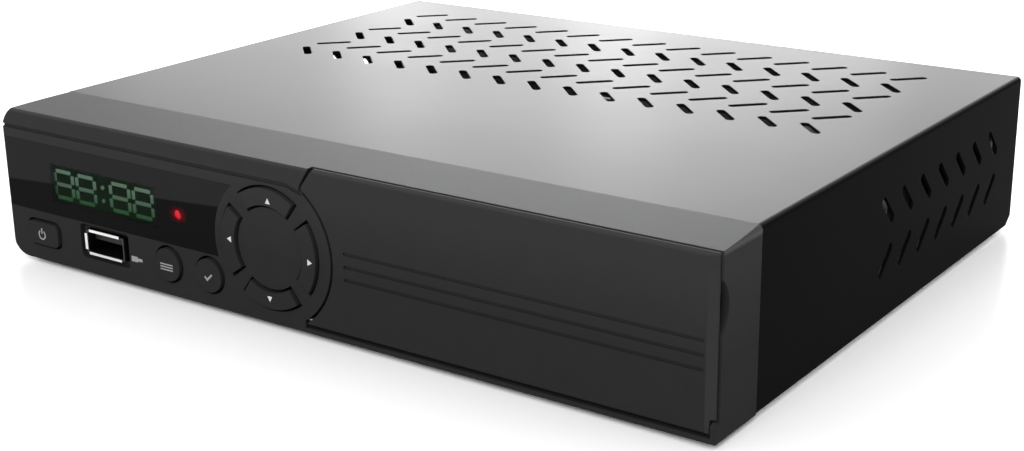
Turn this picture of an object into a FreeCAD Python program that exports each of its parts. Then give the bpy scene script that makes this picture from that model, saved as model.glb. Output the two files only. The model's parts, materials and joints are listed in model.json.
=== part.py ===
import FreeCAD, Part
import math
import os
import re
import Sketcher

# Satellite television receiver: a bent steel case behind a plastic front moulding, with its keys,
# door, boards and rear sockets.
#
# Every piece is drawn in one working frame: x from the middle of the steel cover towards the door
# end, y from the front face towards the rear, z up from the bottom edge of the front moulding.
# The placement that each finished piece gets then moves the working frame so that the origin lies
# under the middle of the whole receiver, on the surface that it stands on.

document = FreeCAD.newDocument("SatelliteReceiver")
sheet = document.addObject("Spreadsheet::Sheet", "Sizes")

# ---------------------------------------------------------------- driving dimensions, millimetres

DRIVING = [
    # case
    ("cover_width", 200), ("body_depth", 162), ("body_height", 40.2), ("steel", 0.8), ("bend", 1.2),
    ("lip_drop", 0.4), ("chassis_flange", 12), ("rear_lip", 7.5), ("rear_cut_long", 3.0),
    ("rear_cut_high", 2.2), ("foot_height", 1.6), ("foot_radius", 6), ("foot_side", 16),
    ("foot_rise", 0.6), ("foot_front", 28), ("foot_rear", 14), ("flange_height", 9),
    ("lip_screw_drop", 4.2), ("lip_screw_inset", 8),
    # cover vents
    ("vent_length", 10), ("vent_width", 2.2), ("vent_pitch", 11.15), ("vent_row_pitch", 11.55),
    ("vent_rear_gap", 75.5), ("vent_shift", 1.6), ("vent_lean", 45), ("side_vent_length", 9.2),
    ("side_vent_pitch", 10.9), ("side_vent_rear_gap", 83.3), ("side_vent_drop", 13.7),
    ("side_vent_row_pitch", 12.1),
    # front moulding
    ("moulding_depth", 17), ("face_wall", 3.2), ("shell_wall", 1.8), ("left_flare", 6.2),
    ("top_round", 8.8), ("low_round", 5.5), ("edge_round", 0.9), ("top_dip", 1.0),
    ("plan_round", 24.5), ("groove_drop", 5.9), ("groove_width", 0.9), ("groove_depth", 0.6),
    ("groove_bend", 4.65), ("rim_long", 3), ("rim_low", 14), ("rim_gap", 0.2), ("rim_wall", 1.4),
    ("boss_radius", 2.4), ("screw_radius", 1.25), ("screw_head", 2.4), ("head_height", 1.2),
    ("left_boss_inset", 23), ("right_boss_inset", 7), ("low_boss_height", 5.2),
    ("moulding_screw_length", 8), ("board_screw_length", 4),
    # display
    ("lens_drop", 8.7), ("lens_bottom", 13.15), ("lens_thick", 1.2), ("lens_wrap", 6),
    ("lens_past_arc", 2.75), ("module_margin", 1.4), ("module_width", 38.6), ("module_low_margin", 2.4),
    ("module_height", 12.6), ("module_gap", 0.35), ("segment_thick", 0.3), ("digit_width", 7.3),
    ("digit_height", 7.7), ("digit_pitch", 8.1), ("digit_inset", 16.4), ("digit_rise", 3.95),
    ("pair_gap", 4.1), ("stroke", 0.85), ("stroke_gap", 0.22), ("colon_rise", 2.15),
    ("colon_radius", 0.51), ("lamp_inset", 60.1), ("lamp_rise", 7.15), ("lamp_radius", 1.15),
    ("eye_inset", 9.2), ("eye_height", 21.5), ("eye_radius", 2.4),
    # keys
    ("pad_inset", 91.1), ("pad_rise", 3.8), ("arc_margin", 3.8), ("arc_wide", 4.0),
    ("arc_span", 69), ("arc_end_gap", 3.0), ("key_gap", 0.6), ("key_proud", 0.7), ("key_travel", 0.6),
    ("key_flange", 1.0), ("flange_thick", 0.8), ("rest_gap", 0.3), ("post_radius", 1.4),
    ("press_gap", 0.4), ("power_inset", 12.9), ("power_height", 7.4), ("power_width", 11.2),
    ("power_tall", 6.0), ("power_round", 1.6), ("menu_inset", 57.7), ("ok_inset", 71.4),
    ("round_key_height", 7.9), ("round_key_radius", 4.15),
    # front board and switches
    ("board_thick", 1.6), ("front_board_place", 10), ("front_board_inset", 2),
    ("front_board_past_pad", 19.1), ("front_board_low", 2.6), ("front_board_drop", 0.2),
    ("low_board_boss", 9.8), ("notch_margin", 1), ("switch_side", 6), ("switch_deep", 3.4),
    ("stem_radius", 1.7), ("stem_length", 0.9),
    # front USB socket
    ("usb_inset", 35.3), ("usb_height", 8.3), ("usb_wide", 12.5), ("usb_tall", 5.12),
    ("usb_sheet", 0.4), ("usb_length", 14), ("usb_mouth_wide", 14.6), ("usb_mouth_tall", 6.7),
    ("usb_recess_wide", 17.4), ("usb_recess_tall", 8.9), ("usb_recess_deep", 1.4),
    ("recess_round", 1.3), ("usb_fit", 0.3), ("tongue_wide", 11.1), ("tongue_thick", 1.84),
    ("tongue_start", 2.0), ("tongue_gap", 0.45), ("usb_board_thick", 1.2), ("usb_board_long", 13),
    # door
    ("door_past_pad", 10.55), ("door_end_gap", 0.4), ("door_bottom", 1.75), ("door_top_gap", 0.1),
    ("door_gap", 0.65), ("door_thick", 1.2), ("door_back_gap", 0.4), ("shoulder_drop", 4.5),
    ("door_slant", 3.4), ("door_past_lens", 1.8), ("rail_inset", 3.55), ("rail_deep", 2.4),
    ("rail_top", 4.2), ("channel_deep", 3.4), ("channel_wall", 1.2), ("bevel_wide", 2.2),
    ("bevel_deep", 0.8), ("edge_high", 0.7), ("edge_deep", 0.8), ("low_edge", 0.5),
    ("rib_groove_top", 21.2), ("rib_groove_pitch", 3.05), ("rib_groove_wide", 0.7),
    ("rib_groove_deep", 0.4), ("rib_groove_start", 11.55), ("rib_groove_end", 2.6),
    ("hinge_back", 1.4), ("hinge_height", 3.0), ("hinge_pin_radius", 0.6), ("hinge_fit", 0.05),
    ("hinge_pin_grip", 5), ("hinge_pin_out", 2.6), ("cheek_wide", 1.2), ("cheek_high", 4.9),
    ("cheek_gap", 0.4), ("cheek_skin", 0.4), ("lip_high", 1.1), ("bay_wide", 62), ("bay_end_gap", 12),
    ("bay_bottom", 6.2), ("bay_top_gap", 0.6), ("bay_deep", 9), ("bay_wall", 1.2), ("bay_rim", 1.6),
    ("stiffener_inset", 1.2), ("stiffener_deep", 2.4), ("stiffener_wall", 1.2), ("notch_bottom", 22.4),
    ("notch_top", 33.4), ("notch_deep", 2.6), ("card_wide", 55), ("card_slot", 1.4),
    ("card_height", 17.6),
    # card reader
    ("reader_wide", 60), ("reader_long", 40), ("reader_high", 5.4), ("reader_board_gap", 8),
    ("reader_margin", 6),
    # boards
    ("standoff_height", 5), ("standoff_radius", 2.6), ("main_inset", 6), ("board_gap", 6),
    ("main_front_gap", 5.8), ("main_post_gap", 32), ("power_post_gap", 26), ("board_rear_gap", 3),
    ("power_board_wide", 44), ("power_board_inset", 5), ("power_board_long", 81.4),
    ("corner_inset", 4),
    # rear connectors
    ("thread_radius", 4.76), ("relief_radius", 4.3), ("relief_long", 0.5), ("thread_bore", 1.0),
    ("connector_reach", 9.5), ("hole_gap", 0.25), ("tuner_inset", 2), ("tuner_wide", 32),
    ("tuner_long", 46), ("tuner_high", 15), ("aerial_inset", 9), ("aerial_pitch", 16),
    ("connector_height", 17.2), ("nut_flat", 11), ("nut_thick", 2.2), ("socket_end_gap", 1),
    ("hdmi_wide", 15), ("hdmi_high", 6.2), ("hdmi_long", 12), ("hdmi_sheet", 0.4),
    ("hdmi_tongue", 1.2), ("optical_wide", 9.8), ("optical_high", 10), ("optical_long", 14),
    ("optical_bore", 2.6), ("network_wide", 16), ("network_high", 13.4), ("network_long", 21),
    ("network_mouth_wide", 11.8), ("network_mouth_high", 8.2), ("network_mouth_deep", 12.6),
    ("phono_pitch", 13), ("phono_block_high", 13), ("phono_block_long", 12), ("phono_radius", 4.2),
    ("phono_bore", 1.65), ("phono_ring", 5.4), ("phono_root", 4.8), ("phono_reach", 7.7),
    ("phono_height", 15.4), ("inlet_gap", 1), ("inlet_wide", 22), ("inlet_high", 13),
    ("inlet_long", 18), ("inlet_mouth_wide", 16.8), ("inlet_mouth_high", 7.8),
    ("inlet_mouth_deep", 10), ("inlet_pin_radius", 1.2), ("inlet_pin_pitch", 8.6),
    ("inlet_flange", 1.2), ("switch_inset", 1), ("rocker_height", 19), ("switch_wide", 15),
    ("switch_tall", 19), ("switch_wall", 1.3), ("switch_body_deep", 15), ("rocker_reach", 2.2),
    ("rocker_tilt", 11), ("rocker_pin_radius", 0.9), ("rocker_depth", 5), ("rocker_gap", 0.4),
    ("rocker_half", 6.8),
    # parts on the boards
    ("chip_high", 1.6), ("chip_step", 8), ("processor_inset", 54), ("processor_gap", 28),
    ("processor_wide", 26), ("memory_wide", 12), ("memory_long", 8), ("memory_pitch", 16),
    ("can_pitch", 8), ("sink_base", 1.6), ("sink_high", 10), ("fin_thick", 1.2),
    ("small_can_radius", 3), ("small_can_high", 9), ("main_can_inset", 12), ("main_can_start", 24),
    ("power_can_start", 16), ("big_can_radius", 8), ("big_can_inset", 10), ("big_can_gap", 24),
    ("big_can_high", 24), ("can_groove", 0.6), ("fuse_radius", 2.6), ("fuse_long", 18),
    ("clip_wide", 2), ("clip_long", 6.4), ("fuse_inset", 9.6), ("choke_wide", 16), ("choke_long", 14),
    ("choke_high", 14), ("choke_side_gap", 8), ("choke_front_gap", 30), ("core_wide", 24),
    ("core_long", 20), ("core_high", 18), ("core_leg", 5), ("core_inset", 8), ("core_front_gap", 10),
    ("sink_thick", 1.5), ("sink_inset", 8), ("ribbon_past_pad", 15), ("ribbon_wide", 20),
    ("ribbon_thick", 0.8), ("ribbon_height", 24), ("ribbon_run", 8), ("header_long", 5),
    ("header_high", 5),
]

# ---------------------------------------------------------------- sizes worked out from the above

DERIVED = [
    ("half", "cover_width / 2"),
    ("inner_bend", "bend - steel"),
    ("left_reach", "half + left_flare"),
    ("lip_screw_height", "body_height - lip_screw_drop"),
    ("lip_screw_side", "half - lip_screw_inset"),
    ("vent_first_row", "body_depth - vent_rear_gap"),
    ("side_vent_first", "body_depth - side_vent_rear_gap"),
    ("side_vent_upper", "body_height - side_vent_drop"),
    ("side_vent_lower", "side_vent_upper - side_vent_row_pitch"),
    ("groove_height", "body_height - groove_drop"),
    ("left_boss", "left_reach - left_boss_inset"),
    ("right_boss", "half - right_boss_inset"),
    ("lens_top", "body_height - lens_drop"),
    ("digit_left", "left_reach - digit_inset"),
    ("digit_bottom", "lens_bottom + digit_rise"),
    ("module_left", "digit_left + module_margin"),
    ("module_bottom", "digit_bottom - module_low_margin"),
    ("lamp_side", "left_reach - lamp_inset"),
    ("lamp_height", "lens_bottom + lamp_rise"),
    ("eye_side", "left_reach - eye_inset"),
    ("pad_side", "left_reach - pad_inset"),
    ("pad_height", "(body_height - pad_rise) / 2"),
    ("arc_outer", "pad_height - arc_margin"),
    ("arc_inner", "arc_outer - arc_wide"),
    ("lens_round", "arc_outer + lens_past_arc"),
    ("door_round", "lens_round + door_past_lens"),
    ("power_side", "left_reach - power_inset"),
    ("usb_side", "left_reach - usb_inset"),
    ("menu_side", "left_reach - menu_inset"),
    ("ok_side", "left_reach - ok_inset"),
    ("front_board_left", "half - front_board_inset"),
    ("front_board_right", "front_board_past_pad - pad_side"),
    ("front_board_high", "body_height - shell_wall - top_dip - front_board_drop"),
    ("door_side", "pad_side - door_past_pad"),
    ("door_right", "half - door_end_gap"),
    ("door_top", "body_height - top_dip - door_top_gap"),
    ("door_shoulder", "door_top - shoulder_drop"),
    ("rail_left", "door_side - rail_inset"),
    ("rib_groove_left", "rib_groove_start - door_side"),
    ("rib_groove_right", "door_right - rib_groove_end"),
    ("bay_right", "half - bay_end_gap"),
    ("bay_left", "bay_right - bay_wide"),
    ("bay_top", "body_height - shell_wall - top_dip - bay_wall - bay_top_gap"),
    ("card_side", "(bay_left + bay_right) / 2"),
    ("ribbon_side", "pad_side + ribbon_past_pad"),
    ("inner_half", "half - steel"),
    ("floor_top", "lip_drop + steel"),
    ("panel_outer", "body_depth - steel"),
    ("panel_inner", "panel_outer - steel"),
    ("board_low", "floor_top + standoff_height"),
    ("board_top", "board_low + board_thick"),
    ("board_rear", "panel_inner - board_rear_gap"),
    ("vent_reach", "(vent_length - vent_width) / 2"),
    ("arc_middle", "(arc_inner + arc_outer) / 2"),
    ("flange_front", "face_wall + rest_gap"),
    ("flange_rear", "flange_front + flange_thick"),
    ("stem_top", "front_board_place - switch_deep - stem_length"),
    ("post_end", "stem_top - key_travel - press_gap"),
    ("module_front", "lens_thick + module_gap + segment_thick"),
    ("usb_floor", "usb_height - usb_tall / 2 - usb_sheet"),
    ("usb_board_low", "usb_floor - usb_board_thick"),
    ("recess_floor", "door_thick + door_back_gap"),
    ("rail_right", "door_right - cheek_wide"),
    ("channel_top", "rail_top + cheek_gap"),
    ("notch_round", "(pow((notch_top - notch_bottom) / 2; 2) + pow(notch_deep; 2)) / (2 * notch_deep)"),
    ("bay_rear", "face_wall + bay_deep"),
    ("reader_rear", "bay_rear + reader_long"),
    ("reader_board_front", "bay_rear + reader_board_gap"),
    ("main_front", "reader_rear + main_front_gap"),
    ("main_left", "half - main_inset"),
    ("power_right", "half - power_board_inset"),
    ("power_left", "power_right - power_board_wide"),
    ("main_right", "power_left - board_gap"),
    ("power_front", "board_rear - power_board_long"),
    ("processor_side", "main_left - processor_inset"),
    ("processor_front", "main_front + processor_gap"),
    ("tuner_left", "main_left - tuner_inset"),
    ("lnb_side", "tuner_left - aerial_inset"),
    ("loop_side", "lnb_side - aerial_pitch"),
    ("phono_block_wide", "phono_pitch * 3"),
    ("socket_sum", "tuner_wide + hdmi_wide + optical_wide + network_wide + phono_block_wide"),
    ("socket_gap", "(tuner_left + main_right - socket_end_gap - socket_sum) / 4"),
    ("hdmi_side", "tuner_left - tuner_wide - socket_gap - hdmi_wide / 2"),
    ("optical_side", "hdmi_side - hdmi_wide / 2 - socket_gap - optical_wide / 2"),
    ("network_side", "optical_side - optical_wide / 2 - socket_gap - network_wide / 2"),
    ("phono_side", "main_right - socket_end_gap - phono_pitch * 2.5"),
    ("inlet_side", "power_left + inlet_gap + inlet_wide / 2"),
    ("rocker_side", "power_right - switch_inset - switch_wide / 2"),
    ("reader_board_top", "card_height - card_slot / 2 - bay_wall - steel"),
    ("reader_board_low", "reader_board_top - board_thick"),
    ("rocker_axis", "panel_outer - rocker_depth + rocker_reach"),
    ("mid_shift", "(left_reach - half) / 2"),
    ("front_shift", "(key_proud - body_depth - connector_reach) / 2"),
    ("lift", "foot_height - lip_drop"),
]

for row, (alias, size) in enumerate(DRIVING, 1):
    sheet.set("A%d" % row, alias.replace("_", " "))
    sheet.set("B%d" % row, str(size))
    sheet.setAlias("B%d" % row, alias)
for row, (alias, rule) in enumerate(DERIVED, 1):
    sheet.set("C%d" % row, alias.replace("_", " "))
    sheet.set("D%d" % row, "=" + rule)
    sheet.setAlias("D%d" % row, alias)
document.recompute()

ALIASES = [alias for alias, entry in DRIVING + DERIVED]
WORD = re.compile(r"\b(" + "|".join(sorted(ALIASES, key=len, reverse=True)) + r")\b")
TRIAL_CELL = "F1"

# counts
VENT_COLUMNS = 15
VENT_ROW_PAIRS = 3
SIDE_VENTS = 7
DOOR_GROOVES = 3
HEX_SIDES = 6
FIN_COUNT = 7

# a pattern's own mark for a step that keeps its pitch
EVEN_SPACING = -1.0


def formula(text):
    """The text as an expression that other objects can hold."""
    return WORD.sub(r"Sizes.\1", str(text))


def number(text):
    """The value of a text made of sheet names, worked out by the sheet."""
    sheet.set(TRIAL_CELL, "=" + str(text))
    sheet.recompute()
    return float(sheet.get(TRIAL_CELL))


def bind(thing, **formulas):
    """Tie properties to sheet formulas; a double underscore stands for a dot."""
    for name, text in formulas.items():
        thing.setExpression(name.replace("__", "."), formula(text))


def put(thing, x="0", y="0", z="0"):
    """Tie the placement's base."""
    bind(thing, Placement__Base__x=x, Placement__Base__y=y, Placement__Base__z=z)


sub_parts = {}


def finish(thing, name):
    """Name a finished piece and move it from the working frame to the receiver's own frame."""
    if thing.TypeId == "Part::Box":
        thing = group(thing)
    thing.Label = name
    put(thing, "mid_shift", "front_shift", "lift")
    sub_parts[name] = thing
    return thing


# ---------------------------------------------------------------- sketches

TURNS = {
    "XY": FreeCAD.Rotation(),
    "XZ": FreeCAD.Rotation(FreeCAD.Vector(1, 0, 0), 90),
    "YZ": FreeCAD.Rotation(FreeCAD.Vector(1, 1, 1), 120),
}
UP = FreeCAD.Vector(0, 0, 1)


def tie(drawing, kind, *references):
    """Add a size constraint whose last reference is a formula, and bind it."""
    text = references[-1]
    index = drawing.addConstraint(Sketcher.Constraint(kind, *references[:-1], number(text)))
    drawing.setExpression("Constraints[%d]" % index, formula(text))


def draw_outline(drawing, points):
    """A closed outline. A point is (across, up), or (across, up, radius, side) where the stretch
    that arrives at it is an arc: side is 1 where the arc turns left and -1 where it turns right."""
    places = [FreeCAD.Vector(number(point[0]), number(point[1]), 0) for point in points]
    first = drawing.GeometryCount
    ends = []
    for index, point in enumerate(points):
        start = places[index - 1]
        end = places[index]
        if len(point) == 2:
            drawing.addGeometry(Part.LineSegment(start, end), False)
            ends.append((1, 2))
            continue
        radius = number(point[2])
        side = point[3]
        chord = end - start
        left = FreeCAD.Vector(-chord.y, chord.x, 0).normalize()
        rise = math.sqrt(max(radius ** 2 - (chord.Length / 2) ** 2, 0))
        centre = (start + end) / 2 + left * rise * side
        begin, close = (start, end) if side > 0 else (end, start)
        angle_start = math.atan2(begin.y - centre.y, begin.x - centre.x)
        angle_end = math.atan2(close.y - centre.y, close.x - centre.x)
        if angle_end < angle_start:
            angle_end += 2 * math.pi
        circle = Part.Circle(centre, UP, radius)
        drawing.addGeometry(Part.ArcOfCircle(circle, angle_start, angle_end), False)
        ends.append((1, 2) if side > 0 else (2, 1))
    count = len(points)
    for index in range(count):
        following = (index + 1) % count
        joint = (first + index, ends[index][1], first + following, ends[following][0])
        drawing.addConstraint(Sketcher.Constraint("Coincident", *joint))
    for index, point in enumerate(points):
        tie(drawing, "DistanceX", -1, 1, first + index, ends[index][1], point[0])
        tie(drawing, "DistanceY", -1, 1, first + index, ends[index][1], point[1])
        if len(point) > 2:
            tie(drawing, "Radius", first + index, point[2])


def draw_circle(drawing, across, up, radius):
    """A circle held by its centre and radius."""
    index = drawing.GeometryCount
    centre = FreeCAD.Vector(number(across), number(up), 0)
    drawing.addGeometry(Part.Circle(centre, UP, number(radius)), False)
    tie(drawing, "DistanceX", -1, 1, index, 3, across)
    tie(drawing, "DistanceY", -1, 1, index, 3, up)
    tie(drawing, "Radius", index, radius)


def rectangle(left, bottom, right, top):
    """The four corners of a rectangle, as outline points."""
    return [(left, bottom), (right, bottom), (right, top), (left, top)]


def rounded(left, bottom, right, top, radius):
    """A rectangle with round corners, as outline points."""
    return [
        ("(%s) + (%s)" % (left, radius), bottom),
        ("(%s) - (%s)" % (right, radius), bottom),
        (right, "(%s) + (%s)" % (bottom, radius), radius, 1),
        (right, "(%s) - (%s)" % (top, radius)),
        ("(%s) - (%s)" % (right, radius), top, radius, 1),
        ("(%s) + (%s)" % (left, radius), top),
        (left, "(%s) - (%s)" % (top, radius), radius, 1),
        (left, "(%s) + (%s)" % (bottom, radius)),
        ("(%s) + (%s)" % (left, radius), bottom, radius, 1),
    ][1:]


def slot(across, up, reach, radius, lean):
    """A slot with round ends: reach is from its middle to an end's centre."""
    run = "(%s) * cos(%s)" % (reach, lean)
    rise = "(%s) * sin(%s)" % (reach, lean)
    side_run = "(%s) * sin(%s)" % (radius, lean)
    side_rise = "(%s) * cos(%s)" % (radius, lean)
    place = "(%s) %s %s %s %s"
    return [
        (place % (across, "-", run, "+", side_run), place % (up, "-", rise, "-", side_rise)),
        (place % (across, "+", run, "+", side_run), place % (up, "+", rise, "-", side_rise)),
        (place % (across, "+", run, "-", side_run), place % (up, "+", rise, "+", side_rise), radius, 1),
        (place % (across, "-", run, "-", side_run), place % (up, "-", rise, "+", side_rise)),
        (place % (across, "-", run, "+", side_run), place % (up, "-", rise, "-", side_rise), radius, 1),
    ][1:]


def draw(drawing, shapes):
    """Draw outlines (lists of points) and circles (tuples of three) into a sketch."""
    for shape in shapes:
        if isinstance(shape, tuple):
            draw_circle(drawing, *shape)
        else:
            draw_outline(drawing, shape)


# ---------------------------------------------------------------- PartDesign helpers


def new_body(name):
    """A body for one piece."""
    return document.addObject("PartDesign::Body", name)


def body_sketch(body, plane, at, shapes):
    """A sketch on one of the body's origin planes, shifted along that plane's axis."""
    drawing = body.newObject("Sketcher::SketchObject", body.Name + "_sketch")
    support = [item for item in body.Origin.OriginFeatures if item.Role == plane + "_Plane"][0]
    drawing.AttachmentSupport = (support, [""])
    drawing.MapMode = "FlatFace"
    drawing.setExpression("AttachmentOffset.Base.z", formula("-(%s)" % at if plane == "XZ" else at))
    draw(drawing, shapes)
    return drawing


def pad(body, plane, at, shapes, length):
    """Add material from the place at, towards the plane's positive axis."""
    feature = body.newObject("PartDesign::Pad", body.Name + "_pad")
    feature.Profile = body_sketch(body, plane, at, shapes)
    feature.Reversed = plane == "XZ"
    bind(feature, Length=length)
    return feature


def pocket(body, plane, at, shapes, length):
    """Cut from the place at, towards the plane's positive axis."""
    feature = body.newObject("PartDesign::Pocket", body.Name + "_pocket")
    feature.Profile = body_sketch(body, plane, at, shapes)
    feature.Reversed = plane != "XZ"
    bind(feature, Length=length)
    return feature


def row_of(body, feature, axis, pitch, count, across=None):
    """Repeat a feature in a row, or in a grid where a second (axis, pitch, count) is given."""
    pattern = body.newObject("PartDesign::LinearPattern", body.Name + "_pattern")
    pattern.Originals = [feature]
    axes = {item.Role: item for item in body.Origin.OriginFeatures}
    body.Tip = pattern
    pattern.Direction = (axes[axis + "_Axis"], [""])
    pattern.Mode = "Spacing"
    pattern.Occurrences = count
    bind(pattern, Offset=pitch)
    if across:
        pattern.Direction2 = (axes[across[0] + "_Axis"], [""])
        pattern.Mode2 = "Spacing"
        pattern.Occurrences2 = across[2]
        pattern.Spacings2 = [EVEN_SPACING] * (across[2] - 1)
        bind(pattern, Offset2=across[1])
    return pattern


# ---------------------------------------------------------------- Part helpers


def span(low, high):
    return "(%s) - (%s)" % (high, low)


def block(x, y, z):
    """A box from three (low, high) pairs."""
    box = document.addObject("Part::Box", "block")
    bind(box, Length=span(*x), Width=span(*y), Height=span(*z))
    put(box, x[0], y[0], z[0])
    return box


def rod(axis, start, radius, length):
    """A cylinder from its start point along an axis."""
    cylinder = document.addObject("Part::Cylinder", "rod")
    bind(cylinder, Radius=radius, Height=length)
    lie = {"X": FreeCAD.Rotation(FreeCAD.Vector(0, 1, 0), 90),
           "Y": FreeCAD.Rotation(FreeCAD.Vector(1, 0, 0), -90),
           "Z": FreeCAD.Rotation()}[axis]
    cylinder.Placement = FreeCAD.Placement(FreeCAD.Vector(), lie)
    put(cylinder, *start)
    return cylinder


def prism(plane, at, shapes, length):
    """Outlines drawn on a plane and drawn out towards its positive axis."""
    drawing = document.addObject("Sketcher::SketchObject", "outline")
    drawing.Placement = FreeCAD.Placement(FreeCAD.Vector(), TURNS[plane])
    put(drawing, **{{"XY": "z", "XZ": "y", "YZ": "x"}[plane]: at})
    draw(drawing, shapes)
    solid = document.addObject("Part::Extrusion", "prism")
    solid.Base = drawing
    solid.DirMode = "Normal"
    solid.Solid = True
    solid.Reversed = plane == "XZ"
    bind(solid, LengthFwd=length)
    return solid


def joined(*things):
    union = document.addObject("Part::MultiFuse", "joined")
    union.Shapes = list(things)
    union.Refine = True
    return union


def minus(thing, *tools):
    result = document.addObject("Part::Cut", "cut")
    result.Base = thing
    result.Tool = tools[0] if len(tools) == 1 else joined(*tools)
    result.Refine = True
    return result


def shared(*things):
    result = document.addObject("Part::MultiCommon", "shared")
    result.Shapes = list(things)
    return result


def group(*things):
    """Separate solids that are one kind of piece."""
    compound = document.addObject("Part::Compound", "group")
    compound.Links = list(things)
    return compound


def screw(axis, head_seat, outward, length):
    """A pan-head screw: head_seat is the point under its head, outward is 1 or -1 along the axis."""
    letters = "XYZ"
    index = letters.index(axis)

    def moved(distance):
        place = list(head_seat)
        place[index] = "(%s) + (%s)" % (place[index], distance)
        return place

    if outward > 0:
        return joined(rod(axis, moved("0"), "screw_head", "head_height"),
                      rod(axis, moved("-(%s)" % length), "screw_radius", length))
    return joined(rod(axis, moved("-head_height"), "screw_head", "head_height"),
                  rod(axis, moved("0"), "screw_radius", length))


# ---------------------------------------------------------------- steel case

FOOT_PLACES = [("-half + foot_side", "foot_front"), ("half - foot_side", "foot_front"),
               ("-half + foot_side", "body_depth - foot_rear"),
               ("half - foot_side", "body_depth - foot_rear")]


def bottom_chassis():
    """Folded floor with side flanges and a front flange that the moulding is screwed to."""
    body = new_body("bottom_chassis")
    flange_top = "lip_drop + chassis_flange"
    profile = [("-inner_half", "lip_drop"), ("inner_half", "lip_drop"), ("inner_half", flange_top),
               ("inner_half - steel", flange_top), ("inner_half - steel", "floor_top"),
               ("-inner_half + steel", "floor_top"), ("-inner_half + steel", flange_top),
               ("-inner_half", flange_top)]
    pad(body, "XZ", "moulding_depth", [profile], "panel_inner - moulding_depth")
    front = rectangle("-inner_half + steel", "floor_top", "inner_half - steel", "flange_height")
    pad(body, "XZ", "moulding_depth", [front], "steel")
    holes = [(x, z, "screw_radius") for x, z in MOULDING_BOSSES]
    pocket(body, "XZ", "moulding_depth", holes, "steel")
    finish(body, "bottom_chassis")


def top_cover():
    """Folded U with a rear lip, diagonal vents in its top and in both sides."""
    body = new_body("top_cover")
    profile = [("-half", "lip_drop"), ("-inner_half", "lip_drop"),
               ("-inner_half", "body_height - bend"),
               ("-half + bend", "body_height - steel", "inner_bend", -1),
               ("half - bend", "body_height - steel"),
               ("inner_half", "body_height - bend", "inner_bend", -1),
               ("inner_half", "lip_drop"), ("half", "lip_drop"), ("half", "body_height - bend"),
               ("half - bend", "body_height", "bend", 1), ("-half + bend", "body_height"),
               ("-half", "body_height - bend", "bend", 1)]
    pad(body, "XZ", "moulding_depth", [profile], "body_depth - moulding_depth")
    lip = rectangle("-inner_half + inner_bend", "body_height - rear_lip", "inner_half - inner_bend",
                    "body_height - steel")
    pad(body, "XZ", "panel_outer", [lip], "steel")
    pocket(body, "XZ", "panel_outer", [(x, "lip_screw_height", "screw_radius") for x in LIP_SCREWS], "steel")
    corner = [("body_depth - rear_cut_long", "lip_drop"), ("body_depth", "lip_drop"),
              ("body_depth", "lip_drop + rear_cut_high")]
    pocket(body, "YZ", "-half", [corner], "cover_width")
    first = "-vent_pitch * %d - vent_shift" % (VENT_COLUMNS // 2)
    for offset, lean in (("0", "-vent_lean"), ("vent_row_pitch", "vent_lean")):
        hole = slot(first, "vent_first_row + " + offset, "vent_reach", "vent_width / 2", lean)
        cut = pocket(body, "XY", "body_height - steel", [hole], "steel")
        row_of(body, cut, "X", "vent_pitch", VENT_COLUMNS, ("Y", "vent_row_pitch * 2", VENT_ROW_PAIRS))
    for level, lean in (("side_vent_upper", "-vent_lean"), ("side_vent_lower", "vent_lean")):
        hole = slot("side_vent_first", level, "(side_vent_length - vent_width) / 2", "vent_width / 2", lean)
        cut = pocket(body, "YZ", "-half", [hole], "cover_width")
        row_of(body, cut, "Y", "side_vent_pitch", SIDE_VENTS)
    finish(body, "top_cover")


def rear_panel():
    """Flat steel panel with an opening for each rear socket."""
    body = new_body("rear_panel")
    outline = rectangle("-inner_half", "lip_drop", "inner_half", "body_height - bend")
    pad(body, "XZ", "panel_inner", [outline], "steel")
    round_holes = [("-lnb_side", "connector_height", "thread_radius + hole_gap"),
                   ("-loop_side", "connector_height", "thread_radius + hole_gap")]
    for place in PHONO_PLACES:
        round_holes.append((place, "phono_height", "phono_ring + hole_gap"))
    round_holes += [(x, "lip_screw_height", "screw_radius") for x in LIP_SCREWS]
    pocket(body, "XZ", "panel_inner", round_holes, "steel")
    square_holes = [
        around("-hdmi_side", "board_top + hdmi_high / 2", "hdmi_wide", "hdmi_high"),
        around("-optical_side", "board_top + optical_high / 2", "optical_wide", "optical_high"),
        around("-network_side", "board_top + network_high / 2", "network_wide", "network_high"),
        around("inlet_side", "board_top + inlet_high / 2", "inlet_wide", "inlet_high"),
        around("rocker_side", "rocker_height", "switch_wide", "switch_tall"),
    ]
    pocket(body, "XZ", "panel_inner", square_holes, "steel")
    finish(body, "rear_panel")


def around(x, z, wide, high):
    """A rectangular hole about a socket."""
    return rectangle("%s - (%s) / 2 - hole_gap" % (x, wide), "%s - (%s) / 2 - hole_gap" % (z, high),
                     "%s + (%s) / 2 + hole_gap" % (x, wide), "%s + (%s) / 2 + hole_gap" % (z, high))


def rubber_feet():
    """Four soft round feet, slightly tapered."""
    feet = []
    for x, y in FOOT_PLACES:
        foot = document.addObject("Part::Cone", "foot")
        bind(foot, Radius1="foot_radius - foot_rise", Radius2="foot_radius", Height="foot_height")
        put(foot, x, y, "lip_drop - foot_height")
        feet.append(foot)
    finish(group(*feet), "rubber_feet")


def case_screws():
    """Screws of the cover's rear lip, and of the moulding through the chassis flange."""
    lip = [screw("Y", (x, "body_depth", "lip_screw_height"), 1, "steel * 4") for x in LIP_SCREWS]
    finish(group(*lip), "cover_screws")
    seat = "moulding_depth + steel"
    front = [screw("Y", (x, seat, z), 1, "moulding_screw_length") for x, z in MOULDING_BOSSES]
    finish(group(*front), "moulding_screws")


# ---------------------------------------------------------------- front moulding

# The moulding is what three outlines share: its front view, its side view and its plan.


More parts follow.
